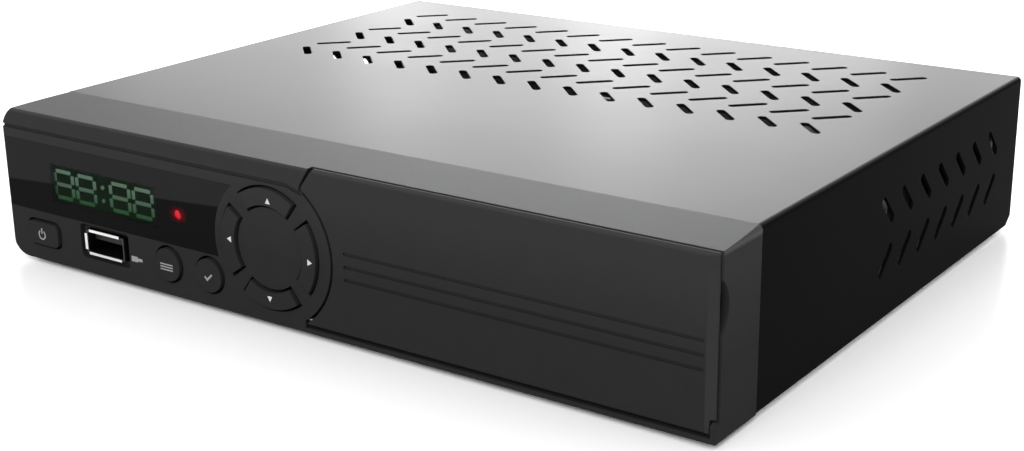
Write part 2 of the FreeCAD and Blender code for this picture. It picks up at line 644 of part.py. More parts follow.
def moulding_form(inset):
    """The moulding's outer form, or the form that lies a wall inside it."""
    left = "-left_reach + " + inset
    right = "half - " + inset
    top = "body_height - " + inset
    front_view = [
        (left + " + low_round", inset), (right, inset), (right, top + " - bend"),
        (right + " - bend", top, "bend", 1), (left + " + top_round", top),
        (left, top + " - top_round", "top_round", 1), (left, inset + " + low_round"),
        (left + " + low_round", inset, "low_round", 1),
    ][1:]
    side_view = [
        ("0", inset), ("moulding_depth", inset), ("moulding_depth", top), ("0", top + " - top_dip"),
    ]
    plan = [
        (right, "0"), (right, "moulding_depth"), ("-half + " + inset, "moulding_depth"),
        (left, "edge_round", "plan_round", 1), (left + " + edge_round", "0", "edge_round", 1),
    ]
    return shared(prism("XZ", "0", [front_view], "moulding_depth"),
                  prism("YZ", "-left_reach", [side_view], "left_reach + half"),
                  prism("XY", "0", [plan], "body_height"))


def lens_region(depth):
    """Everything in front of a depth, between the lens's edges."""
    band = block(("-left_reach - lens_wrap", "-pad_side"), ("-lens_wrap", depth),
                 ("lens_bottom", "lens_top"))
    return minus(band, rod("Y", ("-pad_side", "-lens_wrap", "pad_height"), "lens_round", "lens_wrap * 3"))


def display_lens(outer):
    """Smoked window that wraps round the left end and stops at a curve about the pad."""
    skin = minus(outer, moulding_inset("lens_thick"))
    piece = shared(skin, lens_region("lens_wrap"))
    finish(group(piece), "display_lens")
    return piece


def moulding_inset(inset):
    """The moulding's form an inset inside, and open to the rear."""
    return shared(moulding_form(inset), block(("-left_reach", "half"), (inset, "moulding_depth"),
                                              ("0", "body_height")))


def arc_sector(inner, outer, start, length, span_angle, middle):
    """A sector of a ring about the pad's centre, with its middle in a given direction."""
    low = "(%d - (%s) / 2)" % (middle, span_angle)
    high = "(%d + (%s) / 2)" % (middle, span_angle)

    def at(radius, angle):
        return ("-pad_side + (%s) * cos(%s)" % (radius, angle),
                "pad_height + (%s) * sin(%s)" % (radius, angle))

    outline = [at(outer, low), (*at(outer, high), outer, 1), at(inner, high), (*at(inner, low), inner, -1)]
    return prism("XZ", start, [outline], length)


ARC_KEYS = {"right_button": 0, "up_button": 90, "left_button": 180, "down_button": 270}
ROUND_KEYS = {"menu_button": "-menu_side", "ok_button": "-ok_side"}
MOULDING_BOSSES = [("-left_boss", "low_boss_height"), ("right_boss", "low_boss_height")]
BOARD_BOSSES = [("-front_board_left + corner_inset", "front_board_high - corner_inset"),
                ("-lamp_side", "front_board_high - corner_inset"),
                ("front_board_right - corner_inset", "front_board_high - corner_inset"),
                ("-menu_side - low_board_boss", "front_board_low + screw_head")]
LIP_SCREWS = ["-lip_screw_side", "0", "lip_screw_side"]
PHONO_PLACES = ["phono_side + phono_pitch * %d" % index for index in range(3)]


def key_holes():
    """Every opening that a key passes through."""
    deep = "face_wall * 3"
    start = "-face_wall"
    holes = [arc_sector("arc_inner - key_gap", "arc_outer + key_gap", start, deep,
                        "arc_span + arc_end_gap * 2", middle) for middle in ARC_KEYS.values()]
    for side in ROUND_KEYS.values():
        holes.append(rod("Y", (side, start, "round_key_height"), "round_key_radius + key_gap", deep))
    holes.append(prism("XZ", start, [power_outline("key_gap")], deep))
    return holes


def power_outline(grow):
    """The power key's rounded outline, grown all round."""
    return rounded("-power_side - power_width / 2 - " + grow, "power_height - power_tall / 2 - " + grow,
                   "-power_side + power_width / 2 + " + grow, "power_height + power_tall / 2 + " + grow,
                   "power_round + " + grow)


def door_outline(grow, arc):
    """The door's outline, grown all round, with its hollow curve about the pad. The stretch below
    the curve and the slanted shoulder above it end on the curve itself."""
    left = "-door_side - " + grow
    run = "pad_side - door_side - " + grow
    reach = "sqrt(pow(%s; 2) - pow(%s; 2))" % (arc, run)
    return [
        (left, "door_bottom - " + grow), ("door_right + " + grow, "door_bottom - " + grow),
        ("door_right + " + grow, "door_top + " + grow),
        ("-door_side + door_slant - " + grow, "door_top + " + grow), (left, "door_shoulder"),
        (left, "pad_height + " + reach), (left, "pad_height - " + reach, arc, -1),
    ]


def front_bezel(outer, lens):
    """The moulding itself: hollow, with recesses and holes for the lens, keys, socket and door."""
    shell = minus(outer, shared(moulding_form("shell_wall"),
                                block(("-left_reach", "half"), ("face_wall", "moulding_depth"),
                                      ("0", "body_height"))))
    bosses = [rod("Y", (x, "face_wall", z), "boss_radius", "moulding_depth - face_wall")
              for x, z in MOULDING_BOSSES]
    bosses += [rod("Y", (x, "face_wall", z), "boss_radius", "front_board_place - face_wall")
               for x, z in BOARD_BOSSES]
    shelf = block(("-usb_side - usb_wide / 2", "-usb_side + usb_wide / 2"),
                  ("face_wall", "usb_board_long"), ("shell_wall", "usb_board_low"))
    behind_channel = block(("-door_side - door_gap", "half - shell_wall"),
                           ("face_wall", "channel_deep + channel_wall"),
                           ("shell_wall", "channel_top - cheek_gap"))
    rim_side = "half - steel - rim_gap"
    rim_top = "body_height - steel - rim_gap"
    rim_outline = [
        ("-(%s)" % rim_side, "rim_low"), ("-(%s) + rim_wall" % rim_side, "rim_low"),
        ("-(%s) + rim_wall" % rim_side, rim_top + " - rim_wall"),
        (rim_side + " - rim_wall", rim_top + " - rim_wall"), (rim_side + " - rim_wall", "rim_low"),
        (rim_side, "rim_low"), (rim_side, rim_top),
        ("-(%s)" % rim_side, rim_top)]
    rim = prism("XZ", "moulding_depth - rim_wall", [rim_outline], "rim_long + rim_wall")
    solid = joined(shell, shelf, behind_channel, rim, *bosses)

    window = block(("-module_left - module_gap", "-module_left + module_width + module_gap"),
                   ("0", "face_wall * 2"),
                   ("module_bottom - module_gap", "module_bottom + module_height + module_gap"))
    lamp_hole = rod("Y", ("-lamp_side", "0", "lamp_height"), "lamp_radius + module_gap", "face_wall * 2")
    eye_hole = rod("Y", ("-eye_side", "0", "eye_height"), "eye_radius + module_gap", "face_wall * 2")
    usb_recess = prism("XZ", "-face_wall", [rounded(
        "-usb_side - usb_recess_wide / 2", "usb_height - usb_recess_tall / 2",
        "-usb_side + usb_recess_wide / 2", "usb_height + usb_recess_tall / 2", "recess_round")],
        "face_wall + usb_recess_deep")
    usb_reach = "(usb_wide / 2 + usb_sheet + usb_fit)"
    usb_rise = "(usb_tall / 2 + usb_sheet + usb_fit)"
    usb_hole = block(("-usb_side - " + usb_reach, "-usb_side + " + usb_reach), ("0", "face_wall * 2"),
                     ("usb_height - " + usb_rise, "usb_height + " + usb_rise))
    groove = block(("-left_reach - groove_depth", "-door_side - groove_bend"),
                   ("-groove_depth", "groove_depth"),
                   ("groove_height - groove_width / 2", "groove_height + groove_width / 2"))
    bend = prism("XZ", "-groove_depth", [[
        ("-door_side - groove_bend", "groove_height - groove_width / 2"),
        ("-door_side", "groove_height - groove_width * 2"),
        ("-door_side", "groove_height - groove_width"),
        ("-door_side - groove_bend", "groove_height + groove_width / 2")]], "groove_depth * 2")

    recess = prism("XZ", "-face_wall", [door_outline("door_gap", "door_round - door_gap")],
                   "face_wall + recess_floor")
    over_edges = block(("-door_side + door_slant", "half * 2"), ("-face_wall", "recess_floor"),
                       ("door_top - low_edge", "body_height * 2"))
    over_end = block(("door_right - bevel_wide", "half * 2"), ("-face_wall", "recess_floor"),
                     ("lip_high", "body_height * 2"))
    channel = block(("-rail_left - cheek_gap", "rail_right + cheek_gap"), ("-face_wall", "channel_deep"),
                    ("lip_high", "channel_top"))
    hidden_channel = block(("-door_side - door_gap", "0"), ("recess_floor", "channel_deep"),
                           ("lip_high", "channel_top"))
    bay = block(("bay_left", "bay_right"), ("-face_wall", "face_wall * 2"), ("bay_bottom", "bay_top"))
    cheek_x = ("rail_right + cheek_gap", "half")
    cheek = joined(rod("X", (cheek_x[0], "hinge_back", "hinge_height"), "hinge_back", span(*cheek_x)),
                   block(cheek_x, ("0", "face_wall"), ("lip_high / 2", "hinge_height")),
                   block(cheek_x, ("hinge_back", "face_wall"),
                         ("hinge_height", "hinge_height + hinge_back")))
    notch = prism("YZ", "door_right - bevel_wide", [[
        ("recess_floor - notch_deep", "notch_bottom"), ("recess_floor", "notch_bottom"),
        ("recess_floor", "notch_top", "notch_round", 1), ("recess_floor - notch_deep", "notch_top")]],
        "half")
    pin_hole = rod("X", ("-door_side - door_gap - hinge_pin_out - hinge_fit", "hinge_back", "hinge_height"),
                   "hinge_pin_radius + hinge_fit", "hinge_pin_out + door_side")
    cheek_hole = rod("X", ("rail_right", "hinge_back", "hinge_height"), "hinge_pin_radius + hinge_fit",
                     span("rail_right", "half - cheek_skin"))

    pilots = [rod("Y", (x, "moulding_depth - moulding_screw_length", z), "screw_radius", "moulding_depth")
              for x, z in MOULDING_BOSSES]
    pilots += [rod("Y", (x, "front_board_place - board_screw_length", z), "screw_radius", "moulding_depth")
               for x, z in BOARD_BOSSES]
    cut = minus(solid, lens, window, lamp_hole, eye_hole, usb_recess, usb_hole, groove, bend, recess,
                over_edges, over_end, channel, hidden_channel, bay, *key_holes(), *pilots)
    whole = joined(cut, cheek)
    finish(minus(whole, notch, pin_hole, cheek_hole), "front_bezel")


# ---------------------------------------------------------------- keys


def key_switches():
    """Places of the switches behind the keys."""
    places = [("-power_side", "power_height")]
    places += [(side, "round_key_height") for side in ROUND_KEYS.values()]
    for middle in ARC_KEYS.values():
        places.append(("-pad_side + arc_middle * cos(%d)" % middle,
                       "pad_height + arc_middle * sin(%d)" % middle))
    return places


def post(x, z):
    """The stub behind a key that reaches for its switch."""
    return rod("Y", (x, "flange_front", z), "post_radius", "post_end - flange_front")


def keys():
    """Each key is a cap in its hole, with a flange behind the wall and a stub for its switch."""
    cap_length = "flange_rear + key_proud"
    flange_span = "arc_span + arc_end_gap * 3"
    for name, middle in ARC_KEYS.items():
        cap = arc_sector("arc_inner", "arc_outer", "-key_proud", cap_length, "arc_span", middle)
        flange = arc_sector("arc_inner - key_flange", "arc_outer + key_flange", "flange_front",
                            "flange_thick", flange_span, middle)
        x = "-pad_side + arc_middle * cos(%d)" % middle
        z = "pad_height + arc_middle * sin(%d)" % middle
        finish(joined(cap, flange, post(x, z)), name)
    for name, side in ROUND_KEYS.items():
        cap = rod("Y", (side, "-key_proud", "round_key_height"), "round_key_radius", cap_length)
        flange = rod("Y", (side, "flange_front", "round_key_height"), "round_key_radius + key_flange",
                     "flange_thick")
        finish(joined(cap, flange, post(side, "round_key_height")), name)
    cap = prism("XZ", "-key_proud", [power_outline("0")], cap_length)
    flange = prism("XZ", "flange_front", [power_outline("key_flange")], "flange_thick")
    finish(joined(cap, flange, post("-power_side", "power_height")), "power_button")


# ---------------------------------------------------------------- display


def digit(left):
    """The seven bars of one digit, in their places."""
    across = [left + " + stroke + stroke_gap", left + " + digit_width - stroke - stroke_gap"]
    bars = []
    for level in ("0", "(digit_height - stroke) / 2", "digit_height - stroke"):
        bars.append(rectangle(across[0], "digit_bottom + " + level, across[1],
                              "digit_bottom + %s + stroke" % level))
    for side in (left, left + " + digit_width - stroke"):
        for low, high in (
                ("stroke + stroke_gap", "(digit_height - stroke) / 2 - stroke_gap"),
                ("(digit_height + stroke) / 2 + stroke_gap", "digit_height - stroke - stroke_gap")):
            bars.append(rectangle(side, "digit_bottom + " + low, side + " + stroke",
                                  "digit_bottom + " + high))
    return bars


def display():
    """The clock display's housing with its lit bars, the standby lamp and the remote control's eye."""
    housing = block(("-module_left", "-module_left + module_width"), ("module_front", "front_board_place"),
                    ("module_bottom", "module_bottom + module_height"))
    finish(housing, "display_module")
    start = "module_front - segment_thick"
    shapes = []
    for index in range(4):
        left = "-digit_left + digit_pitch * %d%s" % (index, " + pair_gap" if index > 1 else "")
        shapes += digit(left)
    colon = "-digit_left + digit_pitch * 2 - (digit_pitch - digit_width) / 2 + pair_gap / 2"
    for level in ("colon_rise", "digit_height - colon_rise"):
        shapes.append((colon, "digit_bottom + " + level, "colon_radius"))
    finish(prism("XZ", start, shapes, "segment_thick"), "display_segments")
    lamp = joined(rod("Y", ("-lamp_side", "module_front", "lamp_height"), "lamp_radius",
                      "front_board_place - module_front"),
                  rod("Y", ("-lamp_side", "face_wall + module_gap", "lamp_height"),
                      "lamp_radius + module_gap", "board_thick"))
    finish(lamp, "standby_lamp")
    eye = joined(block(("-eye_side - eye_radius", "-eye_side + eye_radius"),
                       ("face_wall + module_gap", "front_board_place"),
                       ("eye_height - eye_radius - stroke", "eye_height + eye_radius")),
                 rod("Y", ("-eye_side", "module_front", "eye_height"), "eye_radius",
                     "front_board_place - module_front"))
    finish(eye, "infrared_receiver")


def front_board():
    """Upright board behind the keys, with a notch for the USB socket, and what it carries."""
    body = new_body("front_board")
    notch_side = "usb_recess_wide / 2 + notch_margin"
    notch_left = "-left_boss - boss_radius - rest_gap"
    notch_top = "usb_height + usb_recess_tall / 2"
    outline = [("-front_board_left", "front_board_low"), (notch_left, "front_board_low"),
               (notch_left, notch_top), ("-usb_side + " + notch_side, notch_top),
               ("-usb_side + " + notch_side, "front_board_low"), ("front_board_right", "front_board_low"),
               ("front_board_right", "front_board_high"), ("-front_board_left", "front_board_high")]
    pad(body, "XZ", "front_board_place", [outline], "board_thick")
    pocket(body, "XZ", "front_board_place", [(x, z, "screw_radius") for x, z in BOARD_BOSSES], "board_thick")
    finish(body, "front_board")
    seat = "front_board_place + board_thick"
    screws = [screw("Y", (x, seat, z), 1, "board_thick + board_screw_length") for x, z in BOARD_BOSSES]
    switches = []
    for x, z in key_switches():
        case = block((x + " - switch_side / 2", x + " + switch_side / 2"),
                     ("front_board_place - switch_deep", "front_board_place"),
                     (z + " - switch_side / 2", z + " + switch_side / 2"))
        switches.append(joined(case, rod("Y", (x, "stem_top", z), "stem_radius", "stem_length")))
    finish(group(*switches), "tact_switches")
    return screws


def usb_socket():
    """Folded steel shell with a flared mouth, its plastic tongue and its small board."""
    def frame(wide, tall, start, length):
        return block(("-usb_side - (%s) / 2" % wide, "-usb_side + (%s) / 2" % wide), (start, length),
                     ("usb_height - (%s) / 2" % tall, "usb_height + (%s) / 2" % tall))

    tube = frame("usb_wide + usb_sheet * 2", "usb_tall + usb_sheet * 2", "0", "usb_length")
    mouth = frame("usb_mouth_wide", "usb_mouth_tall", "-usb_sheet / 2", "usb_sheet")
    hollow = frame("usb_wide", "usb_tall", "-usb_sheet", "usb_length - usb_sheet")
    finish(minus(joined(tube, mouth), hollow), "usb_shell")
    tongue = block(("-usb_side - tongue_wide / 2", "-usb_side + tongue_wide / 2"),
                   ("tongue_start", "usb_length - usb_sheet"),
                   ("usb_height + usb_tall / 2 - tongue_gap - tongue_thick",
                    "usb_height + usb_tall / 2 - tongue_gap"))
    root = frame("usb_wide", "usb_tall", "usb_length - usb_sheet * 5", "usb_length - usb_sheet")
    finish(joined(tongue, root), "usb_tongue")
    finish(block(("-usb_side - usb_mouth_wide / 2", "-usb_side + usb_mouth_wide / 2"),
                 ("face_wall", "face_wall + usb_board_long"), ("usb_board_low", "usb_floor")), "usb_board")


# ---------------------------------------------------------------- door


def door_flap():
    """Door leaf with a bottom rail, a bevelled end, three grooves and a stiffening frame behind."""
    body = new_body("door_flap")
    pad(body, "XZ", "0", [door_outline("0", "door_round")], "door_thick")
    rail = rectangle("-rail_left", "door_bottom", "door_right", "rail_top")
    pad(body, "XZ", "door_thick", [rail], "rail_deep - door_thick")
    inset = "stiffener_inset"
    outer = rectangle("bay_left + " + inset, "bay_bottom + " + inset, "bay_right - " + inset,
                      "bay_top - " + inset)
    inner = rectangle("bay_left + %s + stiffener_wall" % inset, "bay_bottom + %s + stiffener_wall" % inset,
                      "bay_right - %s - stiffener_wall" % inset, "bay_top - %s - stiffener_wall" % inset)
    pad(body, "XZ", "door_thick", [outer, inner], "stiffener_deep - door_thick")
    for index in range(DOOR_GROOVES):
        drop = " - rib_groove_pitch * %d" % index
        low = "rib_groove_top - rib_groove_wide / 2" + drop
        high = "rib_groove_top + rib_groove_wide / 2" + drop
        groove = rectangle("rib_groove_left", low, "rib_groove_right", high)
        pocket(body, "XZ", "0", [groove], "rib_groove_deep")
    bevel = [("door_right - bevel_wide", "0"), ("door_right", "0"), ("door_right", "bevel_deep")]
    pocket(body, "XY", "0", [bevel], "body_height")
    edge = [("0", "door_top - edge_high"), ("edge_deep", "door_top"), ("0", "door_top")]
    pocket(body, "YZ", "-door_side - door_slant", [edge], "cover_width")
    lower = [("0", "door_bottom"), ("low_edge", "door_bottom"), ("0", "door_bottom + low_edge")]
    pocket(body, "YZ", "-door_side - door_slant", [lower], "cover_width")
    corner = rectangle("rail_right", "door_bottom - low_edge", "door_right + low_edge", "cheek_high")
    pocket(body, "XZ", "0", [corner], "rail_deep")
    bore = [("hinge_back", "hinge_height", "hinge_pin_radius")]
    pocket(body, "YZ", "-door_side - door_gap", bore, "door_side + door_gap + hinge_pin_grip")
    pocket(body, "YZ", "rail_right - hinge_pin_grip", bore, "hinge_pin_grip * 2")
    finish(body, "door_flap")


def door_fittings():
    """Hinge pins pressed into the door's rail, and the bay behind the door."""
    left = rod("X", ("-door_side - door_gap - hinge_pin_out", "hinge_back", "hinge_height"),
               "hinge_pin_radius", "door_side + door_gap + hinge_pin_out + hinge_pin_grip")
    right = rod("X", ("rail_right - hinge_pin_grip", "hinge_back", "hinge_height"), "hinge_pin_radius",
                "hinge_pin_grip + " + span("rail_right", "half - cheek_skin - hinge_fit"))
    finish(group(left, right), "door_hinge_pins")

    rim = block(("bay_left - bay_rim", "bay_right + bay_rim"), ("face_wall", "face_wall + bay_wall"),
                ("bay_bottom - bay_rim", "bay_top + bay_rim"))
    tray = block(("bay_left - bay_wall", "bay_right + bay_wall"), ("face_wall", "bay_rear"),
                 ("bay_bottom - bay_wall", "bay_top + bay_wall"))
    hollow = block(("bay_left", "bay_right"), ("0", "bay_rear - bay_wall"), ("bay_bottom", "bay_top"))
    mouth = block(("card_side - card_wide / 2", "card_side + card_wide / 2"), ("0", "bay_rear * 2"),
                  ("card_height - card_slot / 2", "card_height + card_slot / 2"))
    finish(minus(joined(rim, tray), hollow, mouth), "door_bay")


def card_reader():
    """Smart card reader on its own board, in line with the slot in the bay."""
    low = "reader_board_top"
    case = block(("card_side - reader_wide / 2", "card_side + reader_wide / 2"),
                 ("bay_rear", "reader_rear"), (low, low + " + reader_high"))
    throat = block(("card_side - card_wide / 2", "card_side + card_wide / 2"),
                   ("0", "reader_rear - bay_wall"),
                   ("card_height - card_slot / 2", "card_height + card_slot / 2"))
    finish(minus(case, throat), "card_reader")
    reach = "(reader_wide / 2 + reader_margin)"
    plate = block(("card_side - " + reach, "card_side + " + reach),
                  ("reader_board_front", "reader_rear + steel"), ("reader_board_low", "reader_board_top"))
    holes = [rod("Z", (x, y, "0"), "screw_radius", "body_height") for x, y in READER_POSTS]
    finish(minus(plate, *holes), "reader_board")


# ---------------------------------------------------------------- boards and their posts

MAIN_POSTS = [("-main_left + corner_inset", "main_front + corner_inset"),
              ("main_right - corner_inset", "main_front + corner_inset"),
              ("-main_left + corner_inset", "main_front + main_post_gap"),
              ("main_right - corner_inset", "board_rear - tuner_long / 2")]
POWER_POSTS = [("power_left + corner_inset", "power_front + corner_inset"),
               ("power_right - corner_inset", "power_front + corner_inset"),
               ("power_left + corner_inset", "board_rear - power_post_gap"),
               ("power_right - corner_inset", "board_rear - power_post_gap")]
READER_POSTS = [("card_side %s (reader_wide + reader_margin) / 2" % sign, place) for sign in "+-"
                for place in ("reader_board_front + corner_inset", "reader_rear - corner_inset")]


def board(name, left, right, front, rear, posts):
    """A level board with a screw hole over each of its posts."""
    body = new_body(name)
    pad(body, "XY", "board_low", [rectangle(left, front, right, rear)], "board_thick")
    pocket(body, "XY", "board_low", [(x, y, "screw_radius") for x, y in posts], "board_thick")
    finish(body, name)


def posts_and_screws(screws):
    """Threaded posts on the chassis floor, and the screws in them beside those given."""
    posts = []
    for places, top in ((MAIN_POSTS + POWER_POSTS, "board_low"), (READER_POSTS, "reader_board_low")):
        for x, y in places:
            tube = minus(rod("Z", (x, y, "floor_top"), "standoff_radius", top + " - floor_top"),
                         rod("Z", (x, y, top + " - board_screw_length"), "screw_radius", "standoff_height"))
            posts.append(tube)
            screws.append(screw("Z", (x, y, top + " + board_thick"), 1, "board_thick + board_screw_length"))
    finish(group(*posts), "standoffs")
    finish(group(*screws), "board_screws")


def chip(x, y, wide, long, high):
    """A flat package on the main board."""
    return block((x, "%s + %s" % (x, wide)), (y, "%s + %s" % (y, long)),
                 ("board_top", "board_top + " + high))


def capacitor(x, y, radius, high):
    """A can capacitor standing on a board, with a rolled groove near its foot."""
    can = rod("Z", (x, y, "board_top"), radius, high)
    outer = rod("Z", (x, y, "board_top + can_groove"), "(%s) + can_groove" % radius, "can_groove")
    inner = rod("Z", (x, y, "board_top + can_groove"), "(%s) - can_groove / 4" % radius, "can_groove")
    return minus(can, minus(outer, inner))


def main_board_parts():
    """The processor with its finned heat sink, memory, capacitors, and the ribbon's header."""
    package = chip("-processor_side", "processor_front", "processor_wide", "processor_wide", "chip_high")
    finish(package, "processor")
    base = block(("-processor_side", "-processor_side + processor_wide"),
                 ("processor_front", "processor_front + processor_wide"),
                 ("board_top + chip_high", "board_top + chip_high + sink_base"))
    fins = []
    for index in range(FIN_COUNT):
        low = "-processor_side + (processor_wide - fin_thick) * %d / %d" % (index, FIN_COUNT - 1)
        fins.append(block((low, low + " + fin_thick"),
                          ("processor_front", "processor_front + processor_wide"),
                          ("board_top + chip_high", "board_top + chip_high + sink_high")))
    finish(joined(base, *fins), "heat_sink")
    memory = [chip("-processor_side + processor_wide + chip_step",
                   "processor_front + memory_pitch * %d" % index, "memory_wide", "memory_long", "chip_high")
              for index in range(2)]
    memory.append(chip("-processor_side - memory_wide - chip_step", "processor_front + chip_step",
                       "memory_wide", "memory_long", "chip_high"))
    finish(group(*memory), "memory_chips")
    return [capacitor("main_right - main_can_inset", "main_front + main_can_start + can_pitch * %d" % index,
                      "small_can_radius", "small_can_high") for index in range(4)]


def power_board_parts(main_cans):
    """The mains side: fuse, choke, capacitors, transformer and heat sink. The small capacitors of
    the main board, which are the same kind, join those here."""
    rear = "board_rear - inlet_long"
    clips = []
    for index in (0, 1):
        x = "power_left + fuse_inset + fuse_long * %d" % index
        clips.append(block((x, x + " + clip_wide"), (rear + " - clip_long / 2", rear + " + clip_long / 2"),
                           ("board_top", "board_top + fuse_radius")))
    tube = rod("X", ("power_left + fuse_inset - clip_wide / 2", rear, "board_top + fuse_radius * 2"),
               "fuse_radius", "fuse_long + clip_wide * 2")
    finish(joined(tube, *clips), "fuse")
    choke = minus(chip("power_right - choke_wide - choke_side_gap", rear + " - choke_front_gap",
                       "choke_wide", "choke_long", "choke_high"),
                  rod("Y", ("power_right - choke_wide / 2 - choke_side_gap", "power_front",
                            "board_top + choke_high / 2"), "fuse_radius", "body_depth"))
    finish(choke, "mains_choke")
    finish(capacitor("power_left + big_can_inset", rear + " - big_can_gap", "big_can_radius",
                     "big_can_high"), "mains_capacitor")
    left = "power_left + core_inset"
    front = "power_front + core_front_gap"
    core = chip(left, front, "core_wide", "core_long", "core_high")
    coil_y = (front + " + core_leg", front + " + core_long - core_leg")
    coil_z = ("board_top + core_leg", "board_top + core_high - core_leg")
    window = block((left, left + " + core_wide"), coil_y, coil_z)
    winding = block((left + " - core_leg / 2", left + " + core_wide + core_leg / 2"), coil_y, coil_z)
    finish(minus(core, window), "transformer_core")
    finish(winding, "transformer_winding")
    sink = block(("power_right - sink_inset", "power_right - sink_inset + sink_thick"),
                 (front, front + " + core_long"), ("board_top", "board_top + core_high"))
    finish(sink, "power_heat_sink")
    cans = [capacitor("power_left + power_can_start + can_pitch * %d" % index, "power_front + corner_inset",
                      "small_can_radius", "small_can_high") for index in range(3)]
    finish(group(*cans, *main_cans), "board_capacitors")


def ribbon():
    """Flat cable from the front board back to the main board, and a header at each end."""
    rear_face = "front_board_place + board_thick"
    x = ("-ribbon_side - ribbon_wide / 2", "-ribbon_side + ribbon_wide / 2")
    wide_x = ("-ribbon_side - ribbon_wide / 2 - steel", "-ribbon_side + ribbon_wide / 2 + steel")
    front = block(wide_x, (rear_face, rear_face + " + header_long"),
                  ("ribbon_height - header_high / 2", "ribbon_height + header_high / 2"))
    back = block(wide_x, ("main_front + corner_inset", "main_front + corner_inset + header_long"),
                 ("board_top", "board_top + header_high"))
    finish(group(front, back), "ribbon_headers")
    end = "main_front + corner_inset"
    level = "board_top + header_high / 2"
    path = [(rear_face + " + header_long", "ribbon_height"), ("main_front - ribbon_run", "ribbon_height"),
            (end, level), (end, level + " + ribbon_thick"),
            ("main_front - ribbon_run", "ribbon_height + ribbon_thick"),
            (rear_face + " + header_long", "ribbon_height + ribbon_thick")]
    finish(prism("YZ", x[0], [path], "ribbon_wide"), "ribbon_cable")


# ---------------------------------------------------------------- rear sockets


def tuner():
    """Screened tuner with two threaded aerial connectors and their nuts."""
    can = block(("-tuner_left", "-tuner_left + tuner_wide"), ("panel_inner - tuner_long", "panel_inner"),
                ("board_top", "board_top + tuner_high"))
    ridge = block(("-tuner_left + steel", "-tuner_left + tuner_wide - steel"),
                  ("panel_inner - tuner_long + steel", "panel_inner - steel"),
                  ("board_top", "board_top + tuner_high + steel / 2"))
    finish(joined(can, ridge), "tuner_can")
    nuts = []
    connectors = []
    for side in ("-lnb_side", "-loop_side"):
        length = "body_depth + connector_reach - panel_inner"
        barrel = rod("Y", (side, "panel_inner", "connector_height"), "thread_radius", length)
        bore = rod("Y", (side, "panel_outer", "connector_height"), "thread_bore", "body_depth")
        relief_place = (side, "panel_outer + nut_thick", "connector_height")
        relief = minus(rod("Y", relief_place, "thread_radius + relief_long", "relief_long"),
                       rod("Y", relief_place, "relief_radius", "relief_long"))
        connectors.append(minus(barrel, bore, relief))
        nut = document.addObject("Part::Prism", "nut")
        nut.Polygon = HEX_SIDES
        bind(nut, Circumradius="nut_flat / sqrt(3)", Height="nut_thick")
        nut.Placement = FreeCAD.Placement(FreeCAD.Vector(), FreeCAD.Rotation(FreeCAD.Vector(1, 0, 0), -90))
        put(nut, side, "panel_outer", "connector_height")
        thread = rod("Y", (side, "panel_inner", "connector_height"), "thread_radius", "body_depth")
        nuts.append(minus(nut, thread))
    finish(group(*connectors), "aerial_connectors")
    finish(group(*nuts), "connector_nuts")


def shell_socket(side, wide, high, long, wall, reach):
    """A box on the main board that is hollow from its rear face."""
    def part(margin, start, end):
        return block(("%s - (%s) / 2 + %s" % (side, wide, margin),
                      "%s + (%s) / 2 - %s" % (side, wide, margin)), (start, end),
                     ("board_top + " + margin, "board_top + %s - %s" % (high, margin)))

    case = part("0", "body_depth + (%s) - (%s)" % (reach, long), "body_depth + (%s)" % reach)
    hollow = part(wall, "body_depth + (%s) - (%s) + steel * 2" % (reach, long), "body_depth * 2")
    return minus(case, hollow)


def rear_sockets():
    """HDMI, optical, network and phono sockets."""
    finish(shell_socket("-hdmi_side", "hdmi_wide", "hdmi_high", "hdmi_long", "hdmi_sheet", "hdmi_sheet"),
           "hdmi_shell")
    middle = "board_top + hdmi_high / 2"
    finish(block(("-hdmi_side - hdmi_wide / 2 + hdmi_tongue", "-hdmi_side + hdmi_wide / 2 - hdmi_tongue"),
                 ("body_depth + hdmi_sheet - hdmi_long + steel * 2", "body_depth - hdmi_tongue"),
                 (middle + " - hdmi_tongue / 2", middle + " + hdmi_tongue / 2")), "hdmi_contact_tongue")
    block_front = "body_depth - optical_long"
    case = block(("-optical_side - optical_wide / 2", "-optical_side + optical_wide / 2"),
                 (block_front, "body_depth"), ("board_top", "board_top + optical_high"))
    bore = rod("Y", ("-optical_side", block_front + " + steel * 2", "board_top + optical_high / 2"),
               "optical_bore", "body_depth")
    finish(minus(case, bore), "optical_socket")

    case = block(("-network_side - network_wide / 2", "-network_side + network_wide / 2"),
                 ("body_depth - network_long", "body_depth"), ("board_top", "board_top + network_high"))
    mouth = block(("-network_side - network_mouth_wide / 2", "-network_side + network_mouth_wide / 2"),
                  ("body_depth - network_mouth_deep", "body_depth * 2"),
                  ("board_top + steel * 2", "board_top + steel * 2 + network_mouth_high"))
    finish(minus(case, mouth), "network_socket")

    low = "phono_side - phono_pitch / 2"
    high = "phono_side - phono_pitch / 2 + phono_block_wide"
    case = block((low, high), ("panel_inner - phono_block_long", "panel_inner"),
                 ("board_top", "board_top + phono_block_high"))
    barrels = []
    bores = []
    for place, name in zip(PHONO_PLACES, ("phono_ring_video", "phono_ring_left", "phono_ring_right")):
        barrels.append(rod("Y", (place, "panel_inner", "phono_height"), "phono_radius",
                           "steel * 3 + phono_reach"))
        barrels.append(rod("Y", (place, "panel_inner", "phono_height"), "phono_root", "steel * 3"))
        bores.append(rod("Y", (place, "panel_inner", "phono_height"), "phono_bore", "body_depth"))
        ring = rod("Y", (place, "panel_inner", "phono_height"), "phono_ring", "steel * 3")
        hollow = rod("Y", (place, "panel_inner - steel", "phono_height"), "phono_root", "body_depth")
        finish(minus(ring, hollow), name)
    finish(minus(joined(case, *barrels), *bores), "phono_sockets")


